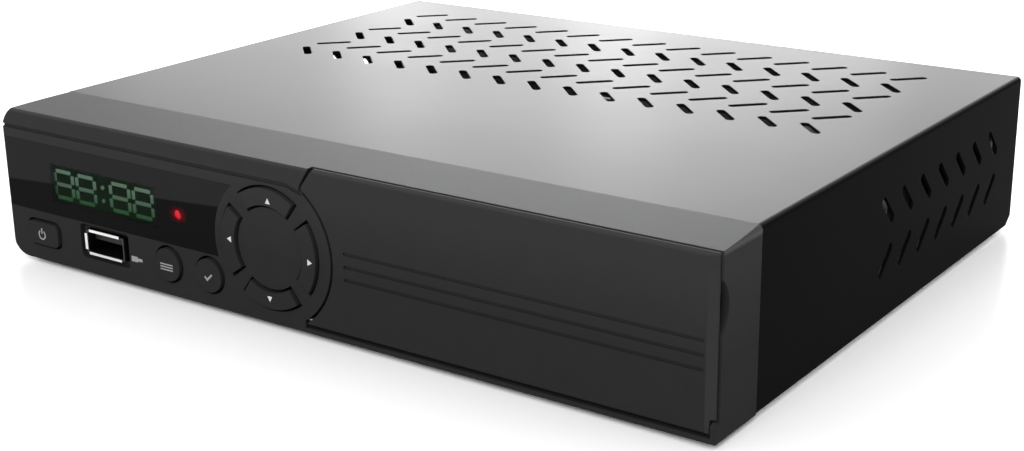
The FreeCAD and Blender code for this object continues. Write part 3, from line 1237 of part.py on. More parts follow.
def mains_entry():
    """Two-pin mains inlet, and a rocker switch beside it."""
    middle = "board_top + inlet_high / 2"
    case = block(("inlet_side - inlet_wide / 2", "inlet_side + inlet_wide / 2"),
                 ("body_depth - inlet_long", "body_depth"), ("board_top", "board_top + inlet_high"))
    reach = "(inlet_mouth_wide - inlet_mouth_high) / 2"
    mouth = prism("XZ", "body_depth - inlet_mouth_deep",
                  [slot("inlet_side", middle, reach, "inlet_mouth_high / 2", "0")], "body_depth")
    finish(minus(case, mouth), "mains_inlet")
    pins = [rod("Y", ("inlet_side %s inlet_pin_pitch / 2" % sign, "body_depth - inlet_mouth_deep", middle),
                "inlet_pin_radius", "inlet_mouth_deep - inlet_flange") for sign in "+-"]
    finish(group(*pins), "mains_inlet_pins")

    def housing(margin, start, end):
        return block(("rocker_side - switch_wide / 2 + " + margin,
                      "rocker_side + switch_wide / 2 - " + margin), (start, end),
                     ("rocker_height - switch_tall / 2 + " + margin,
                      "rocker_height + switch_tall / 2 - " + margin))

    case = housing("0", "panel_outer - switch_body_deep", "body_depth")
    hollow = housing("switch_wall", "panel_outer - switch_body_deep + switch_wall", "body_depth * 2")
    pivot = rod("X", ("rocker_side - switch_wide / 2", "rocker_axis", "rocker_height"), "rocker_pin_radius",
                "switch_wide")
    finish(joined(minus(case, hollow), pivot), "mains_switch_case")

    low = "rocker_height - rocker_half"
    high = "rocker_height + rocker_half"
    profile = [("rocker_axis - rocker_depth", "rocker_height - rocker_depth"), ("body_depth", low),
               ("body_depth + rocker_reach", low), ("body_depth", "rocker_height"),
               ("body_depth + rocker_reach", high), ("body_depth", high),
               ("rocker_axis - rocker_depth", "rocker_height + rocker_depth")]
    whole = prism("YZ", "rocker_side - switch_wide / 2 + switch_wall + rocker_gap", [profile],
                  "switch_wide - switch_wall * 2 - rocker_gap * 2")
    bored = minus(whole, rod("X", ("rocker_side - switch_wide", "rocker_axis", "rocker_height"),
                             "rocker_pin_radius + hinge_fit", "switch_wide * 2"))
    finish(bored, "mains_rocker")
    bored.Placement.Rotation = FreeCAD.Rotation(FreeCAD.Vector(1, 0, 0), 1)
    back = "rocker_axis * (1 - cos(rocker_tilt)) + rocker_height * sin(rocker_tilt)"
    rise = "rocker_height * (1 - cos(rocker_tilt)) - rocker_axis * sin(rocker_tilt)"
    bind(bored, Placement__Rotation__Angle="rocker_tilt", Placement__Base__y="front_shift + " + back,
         Placement__Base__z="lift + " + rise)


# ---------------------------------------------------------------- the whole receiver

outer_form = moulding_form("0")
lens = display_lens(outer_form)
front_bezel(outer_form, lens)
keys()
display()
front_screws = front_board()
usb_socket()
door_flap()
door_fittings()
card_reader()
bottom_chassis()
top_cover()
rear_panel()
rubber_feet()
case_screws()
board("main_board", "-main_left", "main_right", "main_front", "board_rear", MAIN_POSTS)
board("power_board", "power_left", "power_right", "power_front", "board_rear", POWER_POSTS)
posts_and_screws(front_screws)
power_board_parts(main_board_parts())
ribbon()
tuner()
rear_sockets()
mains_entry()
document.recompute()

for item in document.Objects:
    if {"Invalid", "Error"} & set(item.State):
        raise RuntimeError("%s is not worked out: %s" % (item.Name, item.State))
for name, item in sub_parts.items():
    if item.Shape.isNull() or not item.Shape.isValid():
        raise RuntimeError("%s has no valid shape" % name)
    for feature in getattr(item, "Group", []):
        is_cut = feature.TypeId == "PartDesign::Pocket"
        if is_cut and feature.Shape.Volume >= feature.BaseFeature.Shape.Volume:
            raise RuntimeError("%s cuts nothing in %s" % (feature.Name, name))

os.makedirs("parts", exist_ok=True)
for name, item in sub_parts.items():
    item.Shape.exportStep("parts/%s.step" % name)
print(len(sub_parts), "pieces written")
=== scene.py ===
"""Looks of a compact satellite TV receiver: its finishes, marks, rear fittings, light and camera.

Every length is in metres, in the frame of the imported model: +X towards the door end of the front, +Y
towards the rear sockets, +Z up, with the origin on the floor under the receiver's middle. The outlines of
the printed signs are in millimetres.
"""

import json
import math

import bmesh
import bpy
from mathutils import Matrix, Vector

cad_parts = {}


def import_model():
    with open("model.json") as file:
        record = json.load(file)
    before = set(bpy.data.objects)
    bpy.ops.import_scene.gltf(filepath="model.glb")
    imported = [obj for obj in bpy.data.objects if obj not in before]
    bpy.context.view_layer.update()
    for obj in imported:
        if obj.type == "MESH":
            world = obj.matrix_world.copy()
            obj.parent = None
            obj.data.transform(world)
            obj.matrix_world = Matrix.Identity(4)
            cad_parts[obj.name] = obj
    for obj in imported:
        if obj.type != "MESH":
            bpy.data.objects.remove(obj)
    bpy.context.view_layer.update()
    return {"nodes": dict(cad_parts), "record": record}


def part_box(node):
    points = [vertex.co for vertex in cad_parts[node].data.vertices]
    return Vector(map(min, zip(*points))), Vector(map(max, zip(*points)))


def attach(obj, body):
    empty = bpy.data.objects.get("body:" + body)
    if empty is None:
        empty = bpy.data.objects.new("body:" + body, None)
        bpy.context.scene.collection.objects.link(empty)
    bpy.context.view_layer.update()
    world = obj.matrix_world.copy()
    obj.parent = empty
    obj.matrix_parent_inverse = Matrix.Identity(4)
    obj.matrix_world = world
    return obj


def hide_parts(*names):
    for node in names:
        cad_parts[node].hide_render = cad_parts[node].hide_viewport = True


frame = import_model()
nodes = frame["nodes"]
MM = 0.001
X, Y, Z = Vector((1, 0, 0)), Vector((0, 1, 0)), Vector((0, 0, 1))

# ---------------------------------------------------------------- places read from the frame


def middle(node):
    """The middle of a CAD node's box."""
    low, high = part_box(node)
    return (low + high) / 2


PAD = Vector((middle("up_button").x, 0, middle("left_button").z))
LENS_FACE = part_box("display_lens")[0].y
LAMP = middle("standby_lamp")
LAMP.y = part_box("standby_lamp")[0].y
DIGITS_LOW, DIGITS_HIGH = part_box("display_segments")


# ---------------------------------------------------------------- camera

CAMERA_PLACE = Vector((0.2430, -0.34795, 0.1449))
CAMERA_TURN = math.radians(35.503)
CAMERA_RISE = math.radians(18.444)
CAMERA_ROLL = math.radians(-0.729)
CAMERA_LENS = 59.32
CAMERA_NEAR, CAMERA_FAR = 0.01, 20


def camera():
    """The photograph's viewpoint."""
    data = bpy.data.cameras.new("camera")
    data.lens = CAMERA_LENS
    data.clip_start = CAMERA_NEAR
    data.clip_end = CAMERA_FAR
    eye = bpy.data.objects.new("camera", data)
    bpy.context.scene.collection.objects.link(eye)
    back = Vector((math.sin(CAMERA_TURN) * math.cos(CAMERA_RISE),
                   -math.cos(CAMERA_TURN) * math.cos(CAMERA_RISE), math.sin(CAMERA_RISE)))
    right = Vector((math.cos(CAMERA_TURN), math.sin(CAMERA_TURN), 0))
    up = back.cross(right)
    rolled_right = right * math.cos(CAMERA_ROLL) + up * math.sin(CAMERA_ROLL)
    rolled_up = up * math.cos(CAMERA_ROLL) - right * math.sin(CAMERA_ROLL)
    turn = Matrix((rolled_right, rolled_up, back)).transposed()
    eye.matrix_world = Matrix.Translation(CAMERA_PLACE) @ turn.to_4x4()
    bpy.context.scene.camera = eye


# ---------------------------------------------------------------- material helpers

FINE_EDGE = 0.12 * MM
EDGE_SAMPLES = 4
# The colour sockets of a Mix node, which share their names with its other kinds
MIX_FIRST, MIX_SECOND, MIX_RESULT = 6, 7, 2


class Finish:
    """A Principled material with its own nodes, laid out by short calls."""

    def __init__(self, name, **sockets):
        self.name = name
        self.material = bpy.data.materials.new(name)
        self.material.use_nodes = True
        self.tree = self.material.node_tree
        self.shader = self.tree.nodes["Principled BSDF"]
        self.place = self.tree.nodes.new("ShaderNodeTexCoord").outputs["Object"]
        for socket, value in sockets.items():
            self.shader.inputs[socket.replace("_", " ")].default_value = value

    def node(self, kind, **settings):
        """A new node with the given settings."""
        made = self.tree.nodes.new(kind)
        for key, value in settings.items():
            setattr(made, key, value)
        return made

    def link(self, output, target):
        """Lead a node's output to a socket."""
        self.tree.links.new(output, target)

    def set(self, socket, output):
        """Lead a node's output to the shader."""
        self.link(output, self.shader.inputs[socket])

    def axes(self):
        """The place on the surface, as separate X, Y and Z."""
        parts = self.node("ShaderNodeSeparateXYZ")
        self.link(self.place, parts.inputs["Vector"])
        return parts.outputs

    def stretched(self, stretch):
        """The place on the surface, stretched along the three axes."""
        mapping = self.node("ShaderNodeMapping")
        mapping.inputs["Scale"].default_value = stretch
        self.link(self.place, mapping.inputs["Vector"])
        return mapping.outputs["Vector"]

    def noise(self, grain, detail=3.0, stretch=(1, 1, 1)):
        """Noise with grains of about the given size."""
        noise = self.node("ShaderNodeTexNoise")
        noise.inputs["Scale"].default_value = 1 / grain
        noise.inputs["Detail"].default_value = detail
        self.link(self.stretched(stretch), noise.inputs["Vector"])
        return noise.outputs["Fac"]

    def ramp(self, factor, low, high, start=0.0, end=1.0):
        """The factor's stretch from start to end, turned into the stretch from low to high."""
        scale = self.node("ShaderNodeMapRange", clamp=True)
        for name, value in (("From Min", start), ("From Max", end), ("To Min", low), ("To Max", high)):
            scale.inputs[name].default_value = value
        self.link(factor, scale.inputs["Value"])
        return scale.outputs["Result"]

    def mix(self, factor, first, second):
        """A colour between two colours; each is a colour or another node's output."""
        mix = self.node("ShaderNodeMix", data_type="RGBA")
        for target, value in ((mix.inputs[MIX_FIRST], first), (mix.inputs[MIX_SECOND], second)):
            if isinstance(value, bpy.types.NodeSocket):
                self.link(value, target)
            else:
                target.default_value = (*value, 1)
        self.link(factor, mix.inputs["Factor"])
        return mix.outputs[MIX_RESULT]

    def reckon(self, operation, first, second=0.0):
        """A sum of two values; each is a number or another node's output."""
        made = self.node("ShaderNodeMath", operation=operation)
        for target, value in zip(made.inputs, (first, second)):
            if isinstance(value, bpy.types.NodeSocket):
                self.link(value, target)
            else:
                target.default_value = value
        return made.outputs[0]

    def relief(self, height, depth, edge=FINE_EDGE):
        """Bump of a given depth over edges that look slightly rounded."""
        bevel = self.node("ShaderNodeBevel", samples=EDGE_SAMPLES)
        bevel.inputs["Radius"].default_value = edge
        bump = self.node("ShaderNodeBump")
        bump.inputs["Strength"].default_value = 1.0
        bump.inputs["Distance"].default_value = depth
        self.link(height, bump.inputs["Height"])
        self.link(bevel.outputs["Normal"], bump.inputs["Normal"])
        self.set("Normal", bump.outputs["Normal"])


CLOUD_PER_GRAIN = 14
CLOUD_DETAIL = 4.0
# Nearly all values of the noise are between these two
NOISE_FROM, NOISE_TO = 0.25, 0.75


def grained(name, dark, light, rough, grain, depth, stretch=(1, 1, 1), **sockets):
    """A finish whose colour and gloss wander between two values, over a fine relief."""
    finish = Finish(name, **sockets)
    broad = finish.noise(grain * CLOUD_PER_GRAIN, CLOUD_DETAIL, stretch)
    fine = finish.noise(grain, stretch=stretch)
    finish.set("Base Color", finish.mix(broad, dark, light))
    finish.set("Roughness", finish.ramp(fine, *rough, NOISE_FROM, NOISE_TO))
    finish.relief(fine, depth)
    return finish


# ---------------------------------------------------------------- finishes of the outside

SATIN_DARK = (0.0260, 0.0262, 0.0270)
SATIN_LIGHT = (0.0300, 0.0302, 0.0310)
SATIN_IOR = 1.26
SATIN_ROUGH = (0.38, 0.46)
SATIN_GRAIN = 0.35 * MM
SATIN_CLOUD = 5 * MM
SATIN_DEPTH = 0.004 * MM
SATIN_EDGE = 0.2 * MM
# Painted light: how many times paler the plastic grows towards the top, and the heights between which it
# grows paler
PAINTED_LIGHT_GAIN = 1.42
PAINTED_LIGHT_FROM, PAINTED_LIGHT_TO = 17 * MM, 36 * MM
FRONT_SHEEN, TOP_SHEEN = 0.027, 0.5
SHEEN_FROM, SHEEN_TO = 39.4 * MM, 40.3 * MM
# Painted highlight on the door's right bevel: its width from the door's right end, and the blur of its edge
DOOR_BEVEL_HIGHLIGHT = 2.2 * MM
HIGHLIGHT_BLEND = 0.2 * MM


def moulded(name, highlight_from=None):
    """Fine satin moulded plastic with a glossier top, paler towards the top by painted light, and paler past
    the given x by a painted highlight on a bevel.
    """
    finish = Finish(name, IOR=SATIN_IOR)
    fine = finish.noise(SATIN_GRAIN)
    broad = finish.noise(SATIN_CLOUD, CLOUD_DETAIL)
    place = finish.axes()
    low = finish.mix(broad, SATIN_DARK, SATIN_LIGHT)
    high = finish.mix(broad, [shade * PAINTED_LIGHT_GAIN for shade in SATIN_DARK],
                      [shade * PAINTED_LIGHT_GAIN for shade in SATIN_LIGHT])
    # Painted light: paler towards the top
    painted_light = finish.ramp(place["Z"], 0, 1, PAINTED_LIGHT_FROM, PAINTED_LIGHT_TO)
    if highlight_from is not None:
        # A painted highlight on the bevel
        bevel = finish.ramp(place["X"], 0, 1, highlight_from, highlight_from + HIGHLIGHT_BLEND)
        painted_light = finish.reckon("MAXIMUM", painted_light, bevel)
    finish.set("Base Color", finish.mix(painted_light, low, high))
    finish.set("Roughness", finish.ramp(fine, *SATIN_ROUGH, NOISE_FROM, NOISE_TO))
    finish.set("Specular IOR Level", finish.ramp(place["Z"], FRONT_SHEEN, TOP_SHEEN, SHEEN_FROM, SHEEN_TO))
    finish.relief(fine, SATIN_DEPTH, SATIN_EDGE)
    return finish


WINDOW_IOR = 1.06
# The upper tone is lighter by a painted reflection; the lower one is the plain smoked plastic
WINDOW_REFLECTION = ((0.0225, 0.0226, 0.023), (0.0255, 0.0256, 0.026))
WINDOW_LOWER = ((0.0065, 0.0065, 0.0067), (0.0075, 0.0075, 0.0077))
WINDOW_ROUGH = (0.16, 0.2)
WINDOW_CLOUD = 30 * MM
WINDOW_DEPTH = 0.01 * MM
WINDOW_EDGE = 0.2 * MM
# The edge of the painted reflection, above which the window is lighter: its height where x is 0, its rise
# for each metre of x, and its blur
REFLECTION_LEVEL = 28.35 * MM
REFLECTION_TILT = 0.07
REFLECTION_BLUR = 0.5 * MM
# How far a glow on the window's face is from the lit part behind it, for each metre of depth
GLOW_LEAN = Vector((1.0, 0, 0.45))
GREEN_GLOW = (0.0008, 0.0085, 0.002)
GREEN_MARGIN = 1.3 * MM
GREEN_FULL = 0.8
RED_GLOW = (0.30, 0.006, 0.012)
RED_REACH = (3.4 * MM, 2.4 * MM)
RED_FALL = 1.6
# The window's alpha over the lit parts, and the share of a glow from which it is that clear
CLEAR = 0.62
CLEAR_FROM = 0.4


def away(finish, place, centre, reach):
    """How far a place is from a lit part's glow, as shares of the glow's reach along x and z."""
    spot = centre + GLOW_LEAN * (centre.y - LENS_FACE)
    shares = []
    for axis, value, size in (("X", spot.x, reach[0]), ("Z", spot.z, reach[1])):
        shift = finish.reckon("SUBTRACT", place[axis], value)
        shares.append(finish.reckon("ABSOLUTE", finish.reckon("DIVIDE", shift, size)))
    return shares


def green_share(finish, place):
    """1 over the digits, and 0 past the glow round them."""
    half_run = (DIGITS_HIGH - DIGITS_LOW) / 2
    across, rise = away(finish, place, (DIGITS_LOW + DIGITS_HIGH) / 2,
                        (half_run.x + GREEN_MARGIN, half_run.z + GREEN_MARGIN))
    return finish.ramp(finish.reckon("MAXIMUM", across, rise), 1, 0, GREEN_FULL, 1.0)


def red_share(finish, place):
    """1 at the standby lamp, and 0 past the round glow about it."""
    across, rise = away(finish, place, LAMP, RED_REACH)
    squares = finish.reckon("ADD", finish.reckon("POWER", across, 2.0), finish.reckon("POWER", rise, 2.0))
    return finish.ramp(finish.reckon("POWER", squares, 0.5), 1, 0)


def smoked_window():
    """Smoked plastic with a painted reflection above a slanting line, that lets lit parts through and glows
    round them.
    """
    finish = Finish("lens_smoked", IOR=WINDOW_IOR, Emission_Strength=1.0)
    place = finish.axes()
    # Painted reflection above a slanting line
    level = finish.reckon("SUBTRACT", place["Z"], finish.reckon("MULTIPLY", place["X"], REFLECTION_TILT))
    reflection_share = finish.ramp(level, 0, 1, REFLECTION_LEVEL, REFLECTION_LEVEL + REFLECTION_BLUR)
    cloud = finish.noise(WINDOW_CLOUD, 1.0)
    reflected = finish.mix(cloud, *WINDOW_REFLECTION)
    lower = finish.mix(cloud, *WINDOW_LOWER)
    finish.set("Roughness", finish.ramp(cloud, *WINDOW_ROUGH))
    finish.relief(cloud, WINDOW_DEPTH, WINDOW_EDGE)
    green, red = green_share(finish, place), red_share(finish, place)
    finish.set("Base Color", finish.mix(green, finish.mix(reflection_share, lower, reflected), lower))
    finish.set("Alpha", finish.ramp(finish.reckon("MAXIMUM", green, red), 1, CLEAR, 0.0, CLEAR_FROM))
    glow = finish.mix(green, (0, 0, 0), GREEN_GLOW)
    finish.set("Emission Color", finish.mix(finish.reckon("POWER", red, RED_FALL), glow, RED_GLOW))
    return finish


LIT_ROUGH = 0.4
LAMP_HALF = 1 * MM


def lit(name, top, bottom, strength, low, high):
    """A lit part, whose colour goes from the bottom one to the top one between two heights."""
    finish = Finish(name, Roughness=LIT_ROUGH, Emission_Strength=strength)
    colour = finish.mix(finish.ramp(finish.axes()["Z"], 0, 1, low, high), bottom, top)
    finish.set("Base Color", colour)
    finish.set("Emission Color", colour)
    return finish


PAINT_IOR = 1.19
PAINT_DARK = (0.006, 0.006, 0.0063)
PAINT_LIGHT = (0.008, 0.008, 0.0084)
PAINT_ROUGH = (0.28, 0.32)
PAINT_CLOUD = 40 * MM
PEEL_GRAIN = 0.9 * MM
PEEL_DEPTH = 0.003 * MM
PAINT_EDGE = 0.3 * MM
TOP_GLOSS, SIDE_GLOSS = 0.5, 0.012
SIDE_SKIN = 0.9 * MM


def case_paint():
    """Semi-gloss black paint on sheet steel, with a faint orange peel and duller sides."""
    finish = Finish("case_paint", IOR=PAINT_IOR)
    broad = finish.noise(PAINT_CLOUD)
    peel = finish.noise(PEEL_GRAIN, 2.0)
    finish.set("Base Color", finish.mix(broad, PAINT_DARK, PAINT_LIGHT))
    finish.set("Roughness", finish.ramp(broad, *PAINT_ROUGH))
    low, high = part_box("top_cover")
    edge = (high.x - low.x) / 2
    reach = finish.reckon("ABSOLUTE", finish.reckon("SUBTRACT", finish.axes()["X"], (low.x + high.x) / 2))
    finish.set("Specular IOR Level",
               finish.ramp(reach, TOP_GLOSS, SIDE_GLOSS, edge - SIDE_SKIN, edge - SIDE_SKIN / 4))
    finish.relief(peel, PEEL_DEPTH, PAINT_EDGE)
    return finish


BRUSH_GRAIN = 0.25 * MM
BRUSH_DEPTH = 0.003 * MM
BRUSH_STRETCH = 0.03


def brushed(name, dark, light, rough, along):
    """Plain metal with a fine rolled or brushed grain along one axis."""
    stretch = tuple(BRUSH_STRETCH if axis == along else 1 for axis in "XYZ")
    return grained(name, dark, light, rough, BRUSH_GRAIN, BRUSH_DEPTH, stretch, Metallic=1.0)


TRACK_DARK = (0.012, 0.10, 0.04)
TRACK_LIGHT = (0.03, 0.19, 0.08)
TRACK_ROUGH = (0.22, 0.34)
TRACK_PITCH = 9 * MM
TRACK_GAP = 0.04
TRACK_SOFT = 0.1
TRACK_DEPTH = 0.03 * MM
MASK_GRAIN = 0.8 * MM


def laminate():
    """Green solder mask over copper tracks."""
    finish = Finish("green_laminate", IOR=1.5)
    tracks = finish.node("ShaderNodeTexBrick")
    tracks.inputs["Scale"].default_value = 1 / TRACK_PITCH
    tracks.inputs["Mortar Size"].default_value = TRACK_GAP
    tracks.inputs["Mortar Smooth"].default_value = TRACK_SOFT
    finish.link(finish.place, tracks.inputs["Vector"])
    finish.set("Base Color", finish.mix(tracks.outputs["Fac"], TRACK_DARK, TRACK_LIGHT))
    finish.set("Roughness", finish.ramp(finish.noise(MASK_GRAIN), *TRACK_ROUGH))
    finish.relief(tracks.outputs["Fac"], TRACK_DEPTH)
    return finish


# Each finish has the name of its slot. The colours are the darker and the lighter one, or the upper and
# the lower one of a lit part, and then come the roughness from and to, or the strength of the light.
FINISHES = {finish.name: finish for finish in (
    moulded("front_plastic"),
    moulded("door_plastic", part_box("door_flap")[1].x - DOOR_BEVEL_HIGHLIGHT),
    moulded("key_plastic"),
    smoked_window(),
    lit("lit_segment", (0.31, 0.47, 0.34), (0.045, 0.165, 0.060), 2.0, DIGITS_LOW.z, DIGITS_HIGH.z),
    lit("red_lamp", (0.9, 0.05, 0.07), (0.8, 0.02, 0.04), 4.0, LAMP.z - LAMP_HALF, LAMP.z + LAMP_HALF),
    grained("black_plastic", (0.012, 0.012, 0.013), (0.02, 0.02, 0.021), (0.38, 0.5),
            grain=0.4 * MM, depth=0.008 * MM, IOR=1.3),
    grained("grey_plastic", (0.28, 0.28, 0.29), (0.36, 0.36, 0.37), (0.4, 0.5),
            grain=0.4 * MM, depth=0.006 * MM, IOR=1.45),
    grained("white_plastic", (0.72, 0.72, 0.7), (0.8, 0.8, 0.78), (0.3, 0.4),
            grain=0.5 * MM, depth=0.004 * MM, IOR=1.45),
    grained("yellow_plastic", (0.75, 0.5, 0.03), (0.82, 0.58, 0.05), (0.28, 0.38),
            grain=0.5 * MM, depth=0.004 * MM, IOR=1.45),
    grained("red_plastic", (0.5, 0.02, 0.02), (0.6, 0.03, 0.03), (0.28, 0.38),
            grain=0.5 * MM, depth=0.004 * MM, IOR=1.45),
    case_paint(),
    brushed("zinc_steel", (0.5, 0.5, 0.49), (0.62, 0.62, 0.61), (0.3, 0.42), along="X"),
    grained("bright_nickel", (0.68, 0.67, 0.65), (0.76, 0.75, 0.73), (0.12, 0.2),
            grain=0.6 * MM, depth=0.002 * MM, Metallic=1.0),
    grained("screw_steel", (0.45, 0.45, 0.45), (0.55, 0.55, 0.54), (0.25, 0.35),
            grain=0.4 * MM, depth=0.004 * MM, Metallic=1.0),
    grained("black_screw", (0.02, 0.02, 0.022), (0.035, 0.035, 0.037), (0.3, 0.4),
            grain=0.4 * MM, depth=0.004 * MM, Metallic=0.6),
    laminate(),
    grained("chip_black", (0.02, 0.02, 0.022), (0.03, 0.03, 0.032), (0.5, 0.62),
            grain=0.3 * MM, depth=0.01 * MM, IOR=1.45),
    brushed("black_aluminium", (0.04, 0.04, 0.042), (0.06, 0.06, 0.062), (0.35, 0.45), along="Y"),
    brushed("plain_aluminium", (0.66, 0.66, 0.67), (0.74, 0.74, 0.75), (0.3, 0.4), along="Z"),
    grained("capacitor_sleeve", (0.01, 0.015, 0.06), (0.015, 0.025, 0.09), (0.25, 0.35),
            grain=0.6 * MM, depth=0.004 * MM, IOR=1.5),
    grained("ferrite", (0.03, 0.028, 0.028), (0.05, 0.046, 0.045), (0.55, 0.7),
            grain=0.3 * MM, depth=0.012 * MM, IOR=1.5),
    grained("winding_tape", (0.6, 0.42, 0.05), (0.68, 0.5, 0.08), (0.25, 0.35),
            grain=0.8 * MM, depth=0.01 * MM, IOR=1.45),
    grained("fuse_glass", (0.8, 0.83, 0.85), (0.85, 0.88, 0.9), (0.03, 0.07),
            grain=1.5 * MM, depth=0.002 * MM, IOR=1.5, Transmission_Weight=0.9),
    grained("flat_cable", (0.38, 0.38, 0.39), (0.46, 0.46, 0.47), (0.45, 0.55),
            grain=1.2 * MM, depth=0.05 * MM, stretch=(1, 0.02, 0.02), IOR=1.45),
    grained("foot_rubber", (0.012, 0.012, 0.012), (0.02, 0.02, 0.02), (0.7, 0.85),
            grain=0.25 * MM, depth=0.015 * MM, IOR=1.45),
    grained("brass_plain", (0.66, 0.46, 0.18), (0.74, 0.54, 0.24), (0.22, 0.32),
            grain=0.4 * MM, depth=0.003 * MM, Metallic=1.0),
)}


def dress_frame():
    """Give each CAD node the finish of its slot."""
    for row in frame["record"]["subparts"]:
        body = nodes[row["node"]]
        body.data.materials.clear()
        body.data.materials.append(FINISHES[row["material_slot"]].material)


# ---------------------------------------------------------------- mesh helpers

SHARP_ANGLE = 35
# The radius at which a turned form closes round its axis
CORE = 0.05 * MM


def new_object(name, bm):
    """A mesh object from a bmesh, in the scene."""
    bmesh.ops.recalc_face_normals(bm, faces=bm.faces)
    mesh = bpy.data.meshes.new(name)
    bm.to_mesh(mesh)
    bm.free()
    made = bpy.data.objects.new(name, mesh)
    bpy.context.scene.collection.objects.link(made)
    return made


def dress(made, slot, body, *replaced):
    """Give a piece its finish and its body, and hide the CAD nodes that it stands for."""
    made.data.materials.append(FINISHES[slot].material)
    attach(made, body)
    if replaced:
        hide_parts(*replaced)


def smooth(made, angle=SHARP_ANGLE):
    """Shade faces smoothly, except over edges sharper than the angle in degrees."""
    made.data.shade_smooth()
    made.data.set_sharp_from_angle(angle=math.radians(angle))


def slab(bm, outline, place, right, up, thick):
    """A flat plate whose outline is drawn with right and up, raised along right x up."""
    base = [bm.verts.new(place + right * x + up * y) for x, y in outline]
    face = bm.faces.new(base)
    raised = bmesh.ops.extrude_face_region(bm, geom=[face])["geom"]
    moved = [item for item in raised if isinstance(item, bmesh.types.BMVert)]
    bmesh.ops.translate(bm, verts=moved, vec=right.cross(up).normalized() * thick)


def turned(bm, profile, place, axis, steps=48, thread=(1.0, 0.0), threaded=()):
    """Revolve a closed profile of (along, radius) points about an axis.

    The points whose numbers are in threaded follow a thread of the given pitch and depth.
    """
    side = axis.orthogonal().normalized()
    other = axis.cross(side)
    pitch, depth = thread
    rings = []
    for index, (along, radius) in enumerate(profile):
        ring = []
        for step in range(steps):
            share = step / steps
            reach = radius
            if index in threaded:
                reach -= depth * abs(2 * ((along / pitch - share) % 1) - 1)
            turn = share * math.tau
            ring.append(bm.verts.new(place + axis * along
                                     + (side * math.cos(turn) + other * math.sin(turn)) * reach))
        rings.append(ring)
    for near, far in zip(rings, rings[1:] + rings[:1]):
        for step in range(steps):
            after = (step + 1) % steps
            bm.faces.new((near[step], near[after], far[after], far[step]))


def carved(made, cutter):
    """Cut one object out of another, and forget the cutter."""
    cut = made.modifiers.new("cut", "BOOLEAN")
    cut.object = cutter
    bpy.context.view_layer.update()
    seen = made.evaluated_get(bpy.context.evaluated_depsgraph_get())
    mesh = bpy.data.meshes.new_from_object(seen)
    made.modifiers.clear()
    made.data = mesh
    bpy.data.objects.remove(cutter)
    return made


def on_surface(node, start, direction):
    """Where a straight line first meets a CAD node, and the way that its surface faces there."""
    found, place, normal, _ = nodes[node].ray_cast(start, direction)
    if not found:
        raise RuntimeError("no surface of %s is met" % node)
    return place, normal


# ---------------------------------------------------------------- printed marks

PRINT_SINK = 0.02 * MM
PRINT_THICK = 0.06 * MM


def bar(x, y, wide, high):
    """A rectangle about a place."""
    return [(x - wide / 2, y - high / 2), (x + wide / 2, y - high / 2),
            (x + wide / 2, y + high / 2), (x - wide / 2, y + high / 2)]


def band(radius, stroke, start, end, steps=20):
    """A stretch of a ring between two angles in degrees."""
    turns = [math.radians(start + (end - start) * step / steps) for step in range(steps + 1)]
    outer = [((radius + stroke / 2) * math.cos(turn), (radius + stroke / 2) * math.sin(turn))
             for turn in turns]
    inner = [((radius - stroke / 2) * math.cos(turn), (radius - stroke / 2) * math.sin(turn))
             for turn in reversed(turns)]
    return outer + inner


def print_mark(name, outlines, node, body, start, direction, right, slot):
    """Print a mark where a line meets a node."""
    place, normal = on_surface(node, start, direction)
    up = normal.cross(right).normalized()
    bm = bmesh.new()
    for outline in outlines:
        slab(bm, [(x * MM, y * MM) for x, y in outline], place - normal * PRINT_SINK, right, up,
             PRINT_THICK)
    dress(new_object(name, bm), slot, body)


def front_mark(name, outlines, node, body, x, z, slot):
    """Print a mark on the front, on what carries it."""
    print_mark(name, outlines, node, body, Vector((x, -1, z)), Y, X, slot)


ARROW = [(-0.75, -0.6), (0.75, -0.6), (0, 0.75)]
ARROW_SIDE = 12.3 * MM
ARROW_RISE = 11.8 * MM
ARROW_LEAN = math.radians(-2.5)
ARROW_CENTRE = PAD + Vector((0.4, 0, -0.2)) * MM


def arrows():
    """Print a triangle on each of the four arc keys, pointing away from the pad's middle."""
    for name, turn, reach in (("right", 0, ARROW_SIDE), ("up", 90, ARROW_RISE),
                              ("left", 180, ARROW_SIDE), ("down", 270, ARROW_RISE)):
        way = math.radians(turn) + ARROW_LEAN
        aim = math.radians(turn - 90)
        outline = [(x * math.cos(aim) - y * math.sin(aim), x * math.sin(aim) + y * math.cos(aim))
                   for x, y in ARROW]
        front_mark(name + "_arrow", [outline], name + "_button", name + "_key",
                   ARROW_CENTRE.x + reach * math.cos(way), ARROW_CENTRE.z + reach * math.sin(way),
                   "white_plastic")


POWER_SIGN = [band(1.15, 0.4, -235, 55), bar(0, 1.0, 0.4, 1.5)]
LIST_SIGN = [bar(0, level, 4.2, 0.34) for level in (-0.68, 0, 0.68)]
TICK_SIGN = [[(-1.3, 0.1), (-0.95, 0.45), (-0.35, -0.15), (1.05, 1.2), (1.4, 0.85), (-0.35, -0.85)]]
PLUG_SIGN = [bar(-0.8, 0, 2.2, 1.4), bar(1.1, 0, 1.6, 0.8)]
# The key's name, its sign, and the sign's shift from the key's middle to the right and up
KEY_SIGNS = (("power", POWER_SIGN, -0.4 * MM, -0.3 * MM),
             ("menu", LIST_SIGN, -0.2 * MM, -0.6 * MM),
             ("ok", TICK_SIGN, 0, -0.6 * MM))
# The plug's place from the lower right corner of the USB socket
PLUG_SIDE, PLUG_RISE = 3.9 * MM, 1.9 * MM


